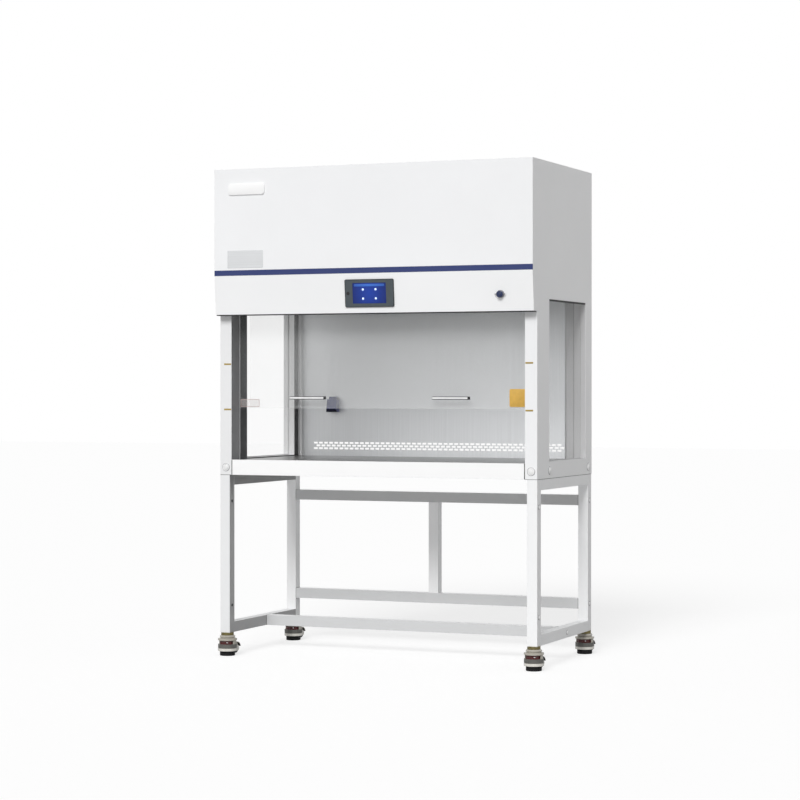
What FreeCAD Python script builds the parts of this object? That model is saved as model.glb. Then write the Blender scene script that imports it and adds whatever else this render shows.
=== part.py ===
import FreeCAD, Part
import math
import os

# Vertical laminar flow cabinet on a levelling stand. Millimetres, +Z up from the floor.
# The sizes below measure Y back from the plane of the front cover, and X from the middle.
# At the end every piece is moved forward, so that the origin is the middle of the footprint.

# Overall sizes
CABINET_WIDTH = 1300.0
CABINET_DEPTH = 690.0
CASTER_HEIGHT = 90.0
LEG_LENGTH = 612.0
BASE_HEIGHT = 59.0
FRONT_OPENING = 559.0
FASCIA_HEIGHT = 149.0
STRIPE_HEIGHT = 21.0
COVER_HEIGHT = 388.0

# Sheet and clearances
SHEET = 1.5
STAINLESS = 1.2
SEAT_GAP = 0.3
RUNNING_GAP = 0.05

# Stand tubes
TUBE = 40.0
TUBE_WALL = 1.5
FRONT_SETBACK = 50.0
REAR_INSET = 5.0
END_PLATE = 3.0
REAR_UPPER_BEAM_Z = 600.0
REAR_LOWER_BEAM_Z = 196.0
CROSS_BEAM_Y = 392.0
BOLT_HOLE_RADIUS = 4.5

# Posts, side walls and windows
POST_WIDTH = 48.0
POST_DEPTH = 68.0
POST_OVERLAP = 8.0
POST_LIP_GAP = 2.5
REAR_FLANGE = 20.0
WINDOW_FRONT = 184.0
WINDOW_LENGTH = 431.0
WINDOW_SILL = 4.0
WINDOW_HEIGHT = 603.0
SIDE_GLASS = 5.0
LEDGE = 15.0
GUIDE_FLANGE = 38.0
EAR_NOTCH = 3.0

# Worktop, back wall and its slots
WORKTOP_RIBS = (-300.0, 0.0, 300.0)
RIB_WIDTH = 30.0
RIB_HEIGHT = 14.0
APRON_LEDGE = 24.0
BACK_CAVITY = 26.5
BACK_LEDGE = 22.0
SLOT_LENGTH = 17.0
SLOT_HEIGHT = 7.5
SLOT_PITCH = 22.9
SLOT_ROW_PITCH = 11.3
SLOT_ROWS = 3
SLOT_FIELD_SIDE = 59.0
SLOT_FIELD_Z = 41.7
EXHAUST_MARGIN = 6.0

# Upper front
FASCIA_LEAN = 13.0
COVER_RETURN = 20.0
STRIPE_RETURN = 12.0
FASCIA_FLOOR = 112.0
BEZEL_WIDTH = 200.0
BEZEL_HEIGHT = 105.0
BEZEL_PROUD = 4.0
BEZEL_CORNER = 6.0
BEZEL_SHOULDER = 7.0
DISPLAY_DEPTH = 30.0
DISPLAY_Z = 74.0
SCREEN_WIDTH = 136.0
SCREEN_HEIGHT = 77.0
SCREEN_RECESS = 2.3
SCREEN_THICK = 2.0
SENSOR_X = -87.0
SENSOR_RADIUS = 4.0
SWITCH_SIDE = 127.0
SWITCH_Z = 62.5
SWITCH_RING_RADIUS = 14.5
SWITCH_RING_PROUD = 6.0
SWITCH_BARREL_RADIUS = 10.8
SWITCH_BARREL_LENGTH = 25.0
SWITCH_CAP_RADIUS = 12.5
SWITCH_CAP_LENGTH = 11.7
SWITCH_SHAFT_RADIUS = 4.0
SWITCH_SHAFT_LENGTH = 21.0
SWITCH_WING_SPAN = 41.0
SWITCH_WING_HEIGHT = 4.4
SWITCH_WING_THICK = 3.7

# Front sash, its rail and handles
SASH_GLASS = 5.0
SASH_REST_OPENING = 198.0
SASH_OVERLAP = 14.0
SASH_GRIP = 12.0
RAIL_WALL = 3.0
RAIL_BITE = 8.0
RAIL_TOP = 14.0
RAIL_END_GAP = 2.0
EAR_THICK = 8.0
EAR_RISE = 0.5
HANDLE_SHARE = 0.49
HANDLE_LENGTH = 148.0
HANDLE_BAR = 12.0
HANDLE_STANDOFF = 22.3
HANDLE_Z = 41.0
HANDLE_FOOT = 9.0
HANDLE_FOOT_INSET = 20.0

# Counterbalance
PULLEY_RADIUS = 20.0
PULLEY_WIDTH = 10.0
CABLE_RADIUS = 1.25
CABLE_TURN_RADIUS = 18.0
GROOVE_DROP = 0.35
PULLEY_DROP = 35.0
SHAFT_RADIUS = 6.0
BEARING_THICK = 8.5
BEARING_SIDE = 32.0
WEIGHT_SIDE = 40.0
WEIGHT_LENGTH = 400.0
WEIGHT_REST_Z = 232.0

# Socket on the back wall
SOCKET_SIDE = 159.0
SOCKET_Z = 205.0
SOCKET_WIDTH = 42.0
SOCKET_HEIGHT = 52.0
SOCKET_DEPTH = 20.0
FLAP_THICK = 5.0
FLAP_BELLY = 12.0
FLAP_LIP = 2.5
FLAP_LIP_HEIGHT = 13.0
FLAP_WALL = 2.5
SOCKET_PIN_RADIUS = 2.0
SOCKET_KNUCKLE_RADIUS = 4.5
SOCKET_EAR_RADIUS = 5.0
SOCKET_EAR_THICK = 4.0
SOCKET_PIN_RISE = 6.0
SOCKET_PIN_SETBACK = 6.0
SOCKET_BARREL_LENGTH = 22.0
SOCKET_WELL_RADIUS = 16.0
SOCKET_WELL_DEPTH = 12.0

# Filter, plenum and fan
CEILING_GAP = 14.0
FILTER_HEIGHT = 80.0
FILTER_FRONT = 130.0
FILTER_FRAME = 15.0
FILTER_SIDE_GAP = 4.0
MEDIA_INSET = 8.0
PLENUM_HEIGHT = 218.0
PLENUM_STEP = 5.0
INLET_RADIUS = 88.0
INLET_WALL = 2.0
INLET_LENGTH = 22.0
IMPELLER_RADIUS = 125.0
IMPELLER_EYE = 95.0
IMPELLER_HEIGHT = 83.0
IMPELLER_DROP = 25.0
IMPELLER_PLATE = 3.0
IMPELLER_HUB = 20.0
BLADE_COUNT = 9
BLADE_THICK = 2.0
BLADE_SWEEP = 48.0
BLADE_BOW = 0.36
OFFSET_TOLERANCE = 0.01
MOTOR_RADIUS = 52.0
MOTOR_HEIGHT = 56.0
MOTOR_SHAFT = 8.0
MOTOR_SHOULDER = 12.0
MOTOR_GAP = 10.0
SPIDER_REACH = 160.0
SPIDER_WIDTH = 30.0
SPIDER_THICK = 4.0
HANGER_RADIUS = 5.0

# Roof grille and prefilter
PREFILTER_WIDTH = 500.0
PREFILTER_LENGTH = 300.0
PREFILTER_THICK = 20.0
PREFILTER_Y = 480.0
ROOF_SLOT_LENGTH = 440.0
ROOF_SLOT_WIDTH = 8.0
ROOF_SLOT_PITCH = 20.0
ROOF_SLOT_COUNT = 12

# Lamps and electrics
LED_LENGTH = 900.0
LED_WIDTH = 32.0
LED_HEIGHT = 14.7
LED_SETBACK = 1.0
UV_LENGTH = 440.0
UV_RADIUS = 8.0
UV_HOLDER = 20.0
UV_REACH = 22.0
UV_DROP = 24.0
UV_HOLDER_EDGE = 4.0
CONTROL_BOX_X = 60.0
CONTROL_BOX_WIDTH = 300.0
CONTROL_BOX_HEIGHT = 180.0
CONTROL_BOX_DEPTH = 68.0
CONTROL_BOX_Z = 70.0
CONTROL_LID = 2.0
INLET_SIDE = 130.0
INLET_Z = 70.0
INLET_PLATE_WIDTH = 50.0
INLET_PLATE_HEIGHT = 30.0
INLET_PLATE_THICK = 2.0
INLET_BODY_DEPTH = 22.0
INLET_WELL_DEPTH = 16.0
INLET_RIM = 4.0

# Bolt caps
CAP_CROWN = 0.8
CAP_RADIUS = 14.0
CAP_HEIGHT = 4.0
SMALL_CAP_RADIUS = 8.0
SMALL_CAP_HEIGHT = 3.0
BASE_CAP_Z = 29.0
SIDE_CAP_FRONT = 189.0
SIDE_CAP_REAR = 646.0

# Levelling casters, with heights counted from the floor and X pointing the way the wheel trails
SWIVEL_REST_DEG = 84.0
COLLAR_RADIUS = 24.5
COLLAR_HEIGHT = 10.7
STEM_RADIUS = 6.0
STEM_LENGTH = 35.0
PLUG_HEIGHT = 20.0
SPIGOT_RADIUS = 10.0
SPIGOT_HEAD_RADIUS = 13.0
SPIGOT_HEAD = 3.4
SPIGOT_BORE = 7.0
SPIGOT_BORE_ROOF = 3.3
HOOD_ROOF = 17.0
HOOD_FLANGE_RADIUS = 37.0
HOOD_BAND_RADIUS = 34.0
HOOD_TOP_RADIUS = 30.0
HOOD_WALL = 2.5
HOOD_BOTTOM = 18.0
HOOD_LIP = 9.0
HOOD_WEB = 5.7
HOOD_CHAMFER = 3.0
HOOD_TOP_BAND = 10.0
HOOD_GROOVE = 2.8
HOOD_SHOULDER = 2.5
HOOD_EDGE = 1.0
HOOD_FLANGE_DROP = 2.0
HOOD_BAND_DROP = 4.0
DIAL_RADIUS = 29.5
DIAL_HEIGHT = 13.5
DIAL_NOTCHES = 12
DIAL_NOTCH = 2.2
WINDOW_BACK = 8.0
SPINDLE_RADIUS = 6.0
SPINDLE_TOP = 56.0
SPINDLE_FLANGE_RADIUS = 14.0
SPINDLE_FLANGE = 4.0
PAD_RADIUS = 29.5
PAD_HEIGHT = 16.0
PAD_EDGE = 1.5
WHEEL_RADIUS = 20.0
WHEEL_WIDTH = 18.0
WHEEL_TRAIL = 50.0
WHEEL_LIFT = 5.0
WHEEL_BEVEL = 3.0
AXLE_RADIUS = 4.0
CHEEK_GAP = 1.7
CHEEK_THICK = 3.0
CHEEK_RADIUS = 12.0
CHEEK_RISE = 2.0
FENDER_GAP = 1.5
FENDER_THICK = 2.5
FENDER_START = 5.0

# Heights and planes that follow from the sizes
HALF = CABINET_WIDTH / 2
STAND_TOP = CASTER_HEIGHT + LEG_LENGTH
WORK_Z = STAND_TOP + BASE_HEIGHT
FASCIA_BOTTOM = WORK_Z + FRONT_OPENING
STRIPE_BOTTOM = FASCIA_BOTTOM + FASCIA_HEIGHT
COVER_BOTTOM = STRIPE_BOTTOM + STRIPE_HEIGHT
CABINET_TOP = COVER_BOTTOM + COVER_HEIGHT
ROOF_UNDER = CABINET_TOP - SHEET
SKIN_X = HALF - SHEET
INNER_X = HALF - POST_WIDTH
POST_BACK = FRONT_SETBACK + POST_DEPTH
POST_TOP = FASCIA_BOTTOM + POST_OVERLAP
GLASS_FRONT = POST_BACK + SEAT_GAP
GLASS_BACK = GLASS_FRONT + SASH_GLASS
GUIDE_FRONT = GLASS_BACK + SEAT_GAP
BACK_Y = CABINET_DEPTH - SHEET - BACK_CAVITY
WINDOW_BOTTOM = WORK_Z + WINDOW_SILL
WINDOW_TOP = WINDOW_BOTTOM + WINDOW_HEIGHT
WINDOW_REAR = WINDOW_FRONT + WINDOW_LENGTH
CEILING_Z = WINDOW_TOP + CEILING_GAP
FILTER_TOP = CEILING_Z + FILTER_HEIGHT
DECK_TOP = FILTER_TOP + PLENUM_HEIGHT
FRONT_LEG_Y = FRONT_SETBACK + TUBE / 2
REAR_LEG_Y = CABINET_DEPTH - REAR_INSET - TUBE / 2
LEG_X = HALF - TUBE / 2
SLOT_FIELD_HALF = INNER_X - SLOT_FIELD_SIDE
SWITCH_X = HALF - SWITCH_SIDE
INLET_X = HALF - INLET_SIDE
SOCKET_X = SOCKET_SIDE - INNER_X
HANDLE_X = HANDLE_SHARE * INNER_X
SASH_BOTTOM = WORK_Z + SASH_REST_OPENING
SASH_TOP = SASH_BOTTOM + FRONT_OPENING + SASH_OVERLAP
CABLE_Y = (GLASS_FRONT + GLASS_BACK) / 2
PULLEY_Y = CABLE_Y + CABLE_TURN_RADIUS
WEIGHT_Y = PULLEY_Y + CABLE_TURN_RADIUS
PULLEY_Z = CABINET_TOP - PULLEY_DROP
LINER_BACK_X = INNER_X + STAINLESS
CABLE_X = (LINER_BACK_X + SKIN_X) / 2
LEAN_DEG = math.degrees(math.atan(FASCIA_LEAN / FASCIA_HEIGHT))
LEAN_SKIN = SHEET / math.cos(math.radians(LEAN_DEG))
WHEEL_Z = WHEEL_RADIUS + WHEEL_LIFT

ORIGIN = FreeCAD.Vector(0, 0, 0)
AXIS_X = FreeCAD.Vector(1, 0, 0)
AXIS_Y = FreeCAD.Vector(0, 1, 0)
AXIS_Z = FreeCAD.Vector(0, 0, 1)
FULL_TURN = 360.0


# Small helpers that every sub-part uses
def block(x0, x1, y0, y1, z0, z1):
    return Part.makeBox(x1 - x0, y1 - y0, z1 - z0, FreeCAD.Vector(x0, y0, z0))


def rod(radius, length, base, axis=AXIS_Z):
    return Part.makeCylinder(radius, length, FreeCAD.Vector(*base), axis)


def side_prism(points, x0, x1):
    wire = Part.makePolygon([FreeCAD.Vector(x0, y, z) for y, z in points + points[:1]])
    return Part.Face(wire).extrude(FreeCAD.Vector(x1 - x0, 0, 0))


def turned(points):
    wire = Part.makePolygon([FreeCAD.Vector(r, 0, z) for r, z in points + points[:1]])
    return Part.Face(wire).revolve(ORIGIN, AXIS_Z, FULL_TURN)


def fused(first, *others):
    return first.fuse(list(others)).removeSplitter()


def cut(shape, *tools):
    return shape.cut(list(tools))


def moved(shape, x=0.0, y=0.0, z=0.0):
    placed = shape.copy()
    placed.translate(FreeCAD.Vector(x, y, z))
    return placed


def mirrored(shape):
    return shape.mirror(ORIGIN, AXIS_X)


def both_sides(shape):
    return [shape, mirrored(shape)]


def box_tube(x0, x1, y0, y1, z0, z1, along):
    walls = {
        "x": (0.0, TUBE_WALL, TUBE_WALL),
        "y": (TUBE_WALL, 0.0, TUBE_WALL),
        "z": (TUBE_WALL, TUBE_WALL, 0.0),
    }
    dx, dy, dz = walls[along]
    outer = block(x0, x1, y0, y1, z0, z1)
    return cut(outer, block(x0 + dx, x1 - dx, y0 + dy, y1 - dy, z0 + dz, z1 - dz))


def on_fascia(shape, x, height):
    placed = shape.copy()
    placed.rotate(ORIGIN, AXIS_X, LEAN_DEG)
    share = 1.0 - height / FASCIA_HEIGHT
    placed.translate(FreeCAD.Vector(x, FASCIA_LEAN * share, FASCIA_BOTTOM + height))
    return placed


# Stand: two welded side frames, a welded rear frame and one cross beam
def stand_side():
    rail_front = FRONT_SETBACK + TUBE
    rail_back = REAR_LEG_Y - TUBE / 2
    inner = HALF - TUBE
    tubes = []
    for leg_y in (FRONT_LEG_Y, REAR_LEG_Y):
        leg = box_tube(inner, HALF, leg_y - TUBE / 2, leg_y + TUBE / 2, CASTER_HEIGHT, STAND_TOP, "z")
        if leg_y == FRONT_LEG_Y:
            starts = [(inner, leg_y, hole_z) for hole_z in (REAR_LOWER_BEAM_Z, REAR_UPPER_BEAM_Z)]
            leg = cut(leg, *[rod(BOLT_HOLE_RADIUS, TUBE_WALL, start, AXIS_X) for start in starts])
        tubes.append(leg)
    tubes.append(box_tube(inner, HALF, rail_front, rail_back, STAND_TOP - TUBE, STAND_TOP, "y"))
    tubes.append(box_tube(inner, HALF, rail_front, rail_back, CASTER_HEIGHT, CASTER_HEIGHT + TUBE, "y"))
    return Part.makeCompound(tubes)


def capped_beam(y, z):
    reach = HALF - TUBE
    half = TUBE / 2
    core = box_tube(END_PLATE - reach, reach - END_PLATE, y - half, y + half, z - half, z + half, "x")
    plate = block(reach - END_PLATE, reach, y - TUBE / 2, y + TUBE / 2, z - TUBE / 2, z + TUBE / 2)
    return fused(core, *both_sides(plate))


def stand_rear_frame():
    upper = capped_beam(REAR_LEG_Y, REAR_UPPER_BEAM_Z)
    lower = capped_beam(REAR_LEG_Y, REAR_LOWER_BEAM_Z)
    half = TUBE / 2
    post = box_tube(-half, half, REAR_LEG_Y - half, REAR_LEG_Y + half,
                    REAR_LOWER_BEAM_Z + half, REAR_UPPER_BEAM_Z - half, "z")
    return Part.makeCompound([upper, lower, post])


def stand_cross_beam():
    return capped_beam(CROSS_BEAM_Y, CASTER_HEIGHT + TUBE / 2)


def dome_cap(radius, height):
    rim = height / 2
    return turned([(0.0, 0.0), (radius, 0.0), (radius, rim), (radius * CAP_CROWN, height), (0.0, height)])


def bolt_caps():
    big = dome_cap(CAP_RADIUS, CAP_HEIGHT)
    small = dome_cap(SMALL_CAP_RADIUS, SMALL_CAP_HEIGHT)
    big_side = big.copy()
    big_side.rotate(ORIGIN, AXIS_Y, 90)
    small_side = small.copy()
    small_side.rotate(ORIGIN, AXIS_Y, 90)
    big.rotate(ORIGIN, AXIS_X, 90)
    cap_z = STAND_TOP + BASE_CAP_Z
    caps = both_sides(moved(big, INNER_X + POST_WIDTH / 2, FRONT_SETBACK, cap_z))
    for cap_y in (SIDE_CAP_FRONT, SIDE_CAP_REAR):
        caps += both_sides(moved(big_side, HALF, cap_y, cap_z))
    for leg_y in (FRONT_LEG_Y, REAR_LEG_Y):
        for beam_z in (REAR_LOWER_BEAM_Z, REAR_UPPER_BEAM_Z):
            caps += both_sides(moved(small_side, HALF, leg_y, beam_z))
    caps += both_sides(moved(small_side, HALF, CROSS_BEAM_Y, CASTER_HEIGHT + TUBE / 2))
    return Part.makeCompound(caps)


# Levelling casters
def caster_mount():
    plug_half = TUBE / 2 - TUBE_WALL - SEAT_GAP
    plug = block(-plug_half, plug_half, -plug_half, plug_half, CASTER_HEIGHT, CASTER_HEIGHT + PLUG_HEIGHT)
    plug = cut(plug, rod(STEM_RADIUS + RUNNING_GAP, PLUG_HEIGHT, (0, 0, CASTER_HEIGHT)))
    collar_z = CASTER_HEIGHT - COLLAR_HEIGHT
    head_z = collar_z - SEAT_GAP - HOOD_ROOF - SEAT_GAP - SPIGOT_HEAD
    stem = turned([
        (SPIGOT_BORE, head_z),
        (SPIGOT_HEAD_RADIUS, head_z),
        (SPIGOT_HEAD_RADIUS, head_z + SPIGOT_HEAD),
        (SPIGOT_RADIUS, head_z + SPIGOT_HEAD),
        (SPIGOT_RADIUS, collar_z),
        (COLLAR_RADIUS, collar_z),
        (COLLAR_RADIUS, CASTER_HEIGHT),
        (STEM_RADIUS, CASTER_HEIGHT),
        (STEM_RADIUS, CASTER_HEIGHT + STEM_LENGTH),
        (0.0, CASTER_HEIGHT + STEM_LENGTH),
        (0.0, collar_z - SPIGOT_BORE_ROOF),
        (SPIGOT_BORE, collar_z - SPIGOT_BORE_ROOF),
    ])
    return [plug, stem]


HOOD_TOP = CASTER_HEIGHT - COLLAR_HEIGHT - SEAT_GAP
HOOD_CEILING = HOOD_TOP - HOOD_ROOF
DIAL_BOTTOM = HOOD_CEILING - SEAT_GAP - SPIGOT_HEAD - SEAT_GAP - DIAL_HEIGHT - SEAT_GAP
WEB_TOP = DIAL_BOTTOM - SEAT_GAP


def caster_hood():
    cavity = HOOD_BAND_RADIUS - HOOD_WALL
    spindle_bore = SPINDLE_RADIUS + RUNNING_GAP
    spigot_bore = SPIGOT_RADIUS + RUNNING_GAP
    shell = turned([
        (spigot_bore, HOOD_TOP),
        (HOOD_TOP_RADIUS - HOOD_CHAMFER, HOOD_TOP),
        (HOOD_TOP_RADIUS, HOOD_TOP - HOOD_CHAMFER),
        (HOOD_TOP_RADIUS, HOOD_TOP - HOOD_TOP_BAND + HOOD_GROOVE),
        (HOOD_TOP_RADIUS - HOOD_GROOVE, HOOD_TOP - HOOD_TOP_BAND + HOOD_GROOVE),
        (HOOD_TOP_RADIUS - HOOD_GROOVE, HOOD_TOP - HOOD_TOP_BAND),
        (HOOD_FLANGE_RADIUS, HOOD_TOP - HOOD_TOP_BAND - HOOD_SHOULDER),
        (HOOD_FLANGE_RADIUS, HOOD_CEILING - HOOD_FLANGE_DROP),
        (HOOD_BAND_RADIUS, HOOD_CEILING - HOOD_BAND_DROP),
        (HOOD_BAND_RADIUS, DIAL_BOTTOM),
        (HOOD_FLANGE_RADIUS - HOOD_EDGE, HOOD_BOTTOM + HOOD_LIP + HOOD_EDGE),
        (HOOD_FLANGE_RADIUS, HOOD_BOTTOM + HOOD_LIP),
        (HOOD_FLANGE_RADIUS, HOOD_BOTTOM + HOOD_EDGE),
        (HOOD_FLANGE_RADIUS - HOOD_EDGE, HOOD_BOTTOM),
        (cavity, HOOD_BOTTOM),
        (cavity, WEB_TOP - HOOD_WEB),
        (spindle_bore, WEB_TOP - HOOD_WEB),
        (spindle_bore, WEB_TOP),
        (cavity, WEB_TOP),
        (cavity, HOOD_CEILING),
        (spigot_bore, HOOD_CEILING),
    ])
    slot_half = WHEEL_WIDTH / 2 + CHEEK_GAP
    outer_half = slot_half + CHEEK_THICK
    wheel_near = WHEEL_TRAIL - WHEEL_RADIUS
    fender_out = WHEEL_RADIUS + FENDER_GAP + FENDER_THICK
    window = block(-HOOD_FLANGE_RADIUS, -WINDOW_BACK, -HOOD_FLANGE_RADIUS, HOOD_FLANGE_RADIUS,
                   DIAL_BOTTOM, HOOD_CEILING - HOOD_BAND_DROP)
    wheel_slot = block(wheel_near - HOOD_EDGE, WHEEL_TRAIL, -slot_half, slot_half,
                       HOOD_BOTTOM - HOOD_EDGE, WHEEL_Z + WHEEL_RADIUS + HOOD_EDGE)
    shell = cut(shell, window, wheel_slot)
    cheek = fused(
        block(wheel_near, WHEEL_TRAIL, slot_half, outer_half,
              WHEEL_Z - CHEEK_RADIUS + CHEEK_RISE, WHEEL_Z + WHEEL_RADIUS),
        rod(CHEEK_RADIUS, CHEEK_THICK, (WHEEL_TRAIL, slot_half, WHEEL_Z), AXIS_Y),
    )
    other_cheek = cheek.mirror(ORIGIN, AXIS_Y)
    ring = cut(
        rod(fender_out, 2 * outer_half, (WHEEL_TRAIL, -outer_half, WHEEL_Z), AXIS_Y),
        rod(fender_out - FENDER_THICK, 2 * outer_half, (WHEEL_TRAIL, -outer_half, WHEEL_Z), AXIS_Y),
    )
    fender = ring.common(block(
        HOOD_BAND_RADIUS - HOOD_WALL / 2, WHEEL_TRAIL + fender_out, -outer_half, outer_half,
        WHEEL_Z + FENDER_START, WHEEL_Z + fender_out,
    ))
    axle = rod(AXLE_RADIUS, 2 * outer_half, (WHEEL_TRAIL, -outer_half, WHEEL_Z), AXIS_Y)
    return fused(shell, cheek, other_cheek, fender, axle)


def caster_wheel():
    half = WHEEL_WIDTH / 2
    bore = AXLE_RADIUS + RUNNING_GAP
    wheel = turned([
        (bore, -half), (WHEEL_RADIUS - WHEEL_BEVEL, -half), (WHEEL_RADIUS, WHEEL_BEVEL - half),
        (WHEEL_RADIUS, half - WHEEL_BEVEL), (WHEEL_RADIUS - WHEEL_BEVEL, half), (bore, half),
    ])
    wheel.rotate(ORIGIN, AXIS_X, 90)
    return moved(wheel, WHEEL_TRAIL, 0.0, WHEEL_Z)


def level_dial():
    points = []
    for step in range(DIAL_NOTCHES * 2):
        radius = DIAL_RADIUS - (DIAL_NOTCH if step % 2 else 0.0)
        angle = math.pi * step / DIAL_NOTCHES
        points.append(FreeCAD.Vector(radius * math.cos(angle), radius * math.sin(angle), DIAL_BOTTOM))
    blank = Part.Face(Part.makePolygon(points + points[:1])).extrude(FreeCAD.Vector(0, 0, DIAL_HEIGHT))
    return cut(blank, rod(SPINDLE_RADIUS + RUNNING_GAP, DIAL_HEIGHT, (0, 0, DIAL_BOTTOM)))


def foot_pad():
    pad = turned([
        (0.0, 0.0), (PAD_RADIUS - PAD_EDGE, 0.0), (PAD_RADIUS, PAD_EDGE),
        (PAD_RADIUS, PAD_HEIGHT - PAD_EDGE),
        (PAD_RADIUS - PAD_EDGE, PAD_HEIGHT), (0.0, PAD_HEIGHT),
    ])
    flange_top = PAD_HEIGHT + SPINDLE_FLANGE
    spindle = turned([
        (0.0, PAD_HEIGHT), (SPINDLE_FLANGE_RADIUS, PAD_HEIGHT), (SPINDLE_FLANGE_RADIUS, flange_top),
        (SPINDLE_RADIUS, flange_top), (SPINDLE_RADIUS, SPINDLE_TOP), (0.0, SPINDLE_TOP),
    ])
    return Part.makeCompound([pad, spindle])


def casters():
    corners = {
        "front_left": (-LEG_X, FRONT_LEG_Y),
        "front_right": (LEG_X, FRONT_LEG_Y),
        "rear_left": (-LEG_X, REAR_LEG_Y),
        "rear_right": (LEG_X, REAR_LEG_Y),
    }
    makers = {
        "caster_hood": caster_hood(),
        "caster_wheel": caster_wheel(),
        "level_dial": level_dial(),
        "foot_pad": foot_pad(),
    }
    nodes = {}
    mounts = []
    for corner, (x, y) in corners.items():
        for name, shape in makers.items():
            placed = shape.copy()
            placed.rotate(ORIGIN, AXIS_Z, SWIVEL_REST_DEG)
            nodes[name + "_" + corner] = moved(placed, x, y)
        mounts += [moved(shape, x, y) for shape in caster_mount()]
    nodes["caster_mounts"] = Part.makeCompound(mounts)
    return nodes


# Side walls: a folded outer panel with the front post, an inner liner with the window reveal, and the pane
def window_block(x0, x1, grow=0.0):
    return block(x0, x1, WINDOW_FRONT - grow, WINDOW_REAR + grow, WINDOW_BOTTOM - grow, WINDOW_TOP + grow)


def side_panel():
    outline = [
        (FRONT_SETBACK, STAND_TOP),
        (FRONT_SETBACK, FASCIA_BOTTOM),
        (FASCIA_LEAN + LEAN_SKIN, FASCIA_BOTTOM),
        (LEAN_SKIN, STRIPE_BOTTOM),
        (SHEET, STRIPE_BOTTOM),
        (SHEET, ROOF_UNDER),
        (CABINET_DEPTH, ROOF_UNDER),
        (CABINET_DEPTH, STAND_TOP),
    ]
    skin = cut(side_prism(outline, SKIN_X, HALF), window_block(SKIN_X, HALF))
    face = block(INNER_X, SKIN_X, FRONT_SETBACK, FRONT_SETBACK + SHEET, STAND_TOP, POST_TOP)
    cheek = block(INNER_X, INNER_X + SHEET, FRONT_SETBACK, POST_BACK, STAND_TOP, POST_TOP)
    back = block(INNER_X, SKIN_X - POST_LIP_GAP, POST_BACK - SHEET, POST_BACK, STAND_TOP, POST_TOP)
    rear_y = CABINET_DEPTH - SHEET
    flange = block(SKIN_X - REAR_FLANGE, SKIN_X, rear_y - SHEET, rear_y, STAND_TOP, ROOF_UNDER)
    return fused(skin, face, cheek, back, flange)


def side_liner():
    ledge_top = WORK_Z - STAINLESS - SEAT_GAP
    ledge_bottom = ledge_top - STAINLESS
    wall = block(INNER_X, LINER_BACK_X, GUIDE_FRONT, BACK_Y - SEAT_GAP, ledge_bottom, CEILING_Z)
    guide_back = GUIDE_FRONT + STAINLESS
    guide = block(INNER_X, INNER_X + GUIDE_FLANGE, GUIDE_FRONT, guide_back, ledge_bottom, POST_TOP)
    rear = BACK_Y - BACK_LEDGE
    lower = block(INNER_X - LEDGE, INNER_X, WINDOW_FRONT, rear - SHEET, ledge_bottom, ledge_top)
    upper = block(INNER_X - LEDGE, INNER_X, FILTER_FRONT, rear, CEILING_Z - STAINLESS, CEILING_Z)
    reveal = cut(window_block(LINER_BACK_X, SKIN_X, STAINLESS), window_block(LINER_BACK_X, SKIN_X))
    notch = block(INNER_X, LINER_BACK_X, GUIDE_FRONT, GUIDE_FRONT + EAR_NOTCH, POST_TOP, CEILING_Z)
    wall = cut(wall, window_block(INNER_X, LINER_BACK_X), notch)
    return fused(wall, guide, lower, upper, reveal)


def side_glass():
    middle = (LINER_BACK_X + SKIN_X) / 2
    return window_block(middle - SIDE_GLASS / 2, middle + SIDE_GLASS / 2, -SEAT_GAP)


# Base pan, worktop and back walls
def base_pan():
    inner = INNER_X - SEAT_GAP
    front = block(-inner, inner, FRONT_SETBACK, POST_BACK + SEAT_GAP, STAND_TOP, STAND_TOP + SHEET)
    wide = SKIN_X - SEAT_GAP
    rear_stop = CABINET_DEPTH - 2 * SHEET - SEAT_GAP
    floor = block(-wide, wide, POST_BACK + SEAT_GAP, rear_stop, STAND_TOP, STAND_TOP + SHEET)
    apron = block(-inner, inner, FRONT_SETBACK, FRONT_SETBACK + SHEET, STAND_TOP, WORK_Z)
    ledge_top = WORK_Z - STAINLESS
    ledge = block(-inner, inner, FRONT_SETBACK, FRONT_SETBACK + APRON_LEDGE, ledge_top - SHEET, ledge_top)
    return fused(front, floor, apron, ledge)


def worktop():
    inner = INNER_X - SEAT_GAP
    front = FRONT_SETBACK + SHEET + SEAT_GAP
    under = WORK_Z - STAINLESS
    sheet = block(-inner, inner, front, BACK_Y - SEAT_GAP, under, WORK_Z)
    rib_front = FRONT_SETBACK + APRON_LEDGE + LEDGE
    rib_back = BACK_Y - BACK_LEDGE - LEDGE
    ribs = []
    for rib_x in WORKTOP_RIBS:
        rib_half = RIB_WIDTH / 2
        outer = block(rib_x - rib_half, rib_x + rib_half, rib_front, rib_back, under - RIB_HEIGHT, under)
        inside_half = rib_half - STAINLESS
        inside = block(rib_x - inside_half, rib_x + inside_half, rib_front, rib_back,
                       under - RIB_HEIGHT + STAINLESS, under)
        ribs.append(cut(outer, inside))
    return fused(sheet, *ribs)


def back_slots():
    slots = []
    count = int(2 * SLOT_FIELD_HALF / SLOT_PITCH)
    middle_row = (SLOT_ROWS - 1) / 2
    half_w = SLOT_LENGTH / 2
    half_h = SLOT_HEIGHT / 2
    for row in range(SLOT_ROWS):
        slot_z = WORK_Z + SLOT_FIELD_Z + (row - middle_row) * SLOT_ROW_PITCH
        shift = SLOT_PITCH / 2 if row % 2 else 0.0
        for column in range(count):
            slot_x = (column - (count - 1) / 2) * SLOT_PITCH + shift
            slots.append(block(slot_x - half_w, slot_x + half_w, BACK_Y, BACK_Y + STAINLESS,
                               slot_z - half_h, slot_z + half_h))
    return slots


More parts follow.
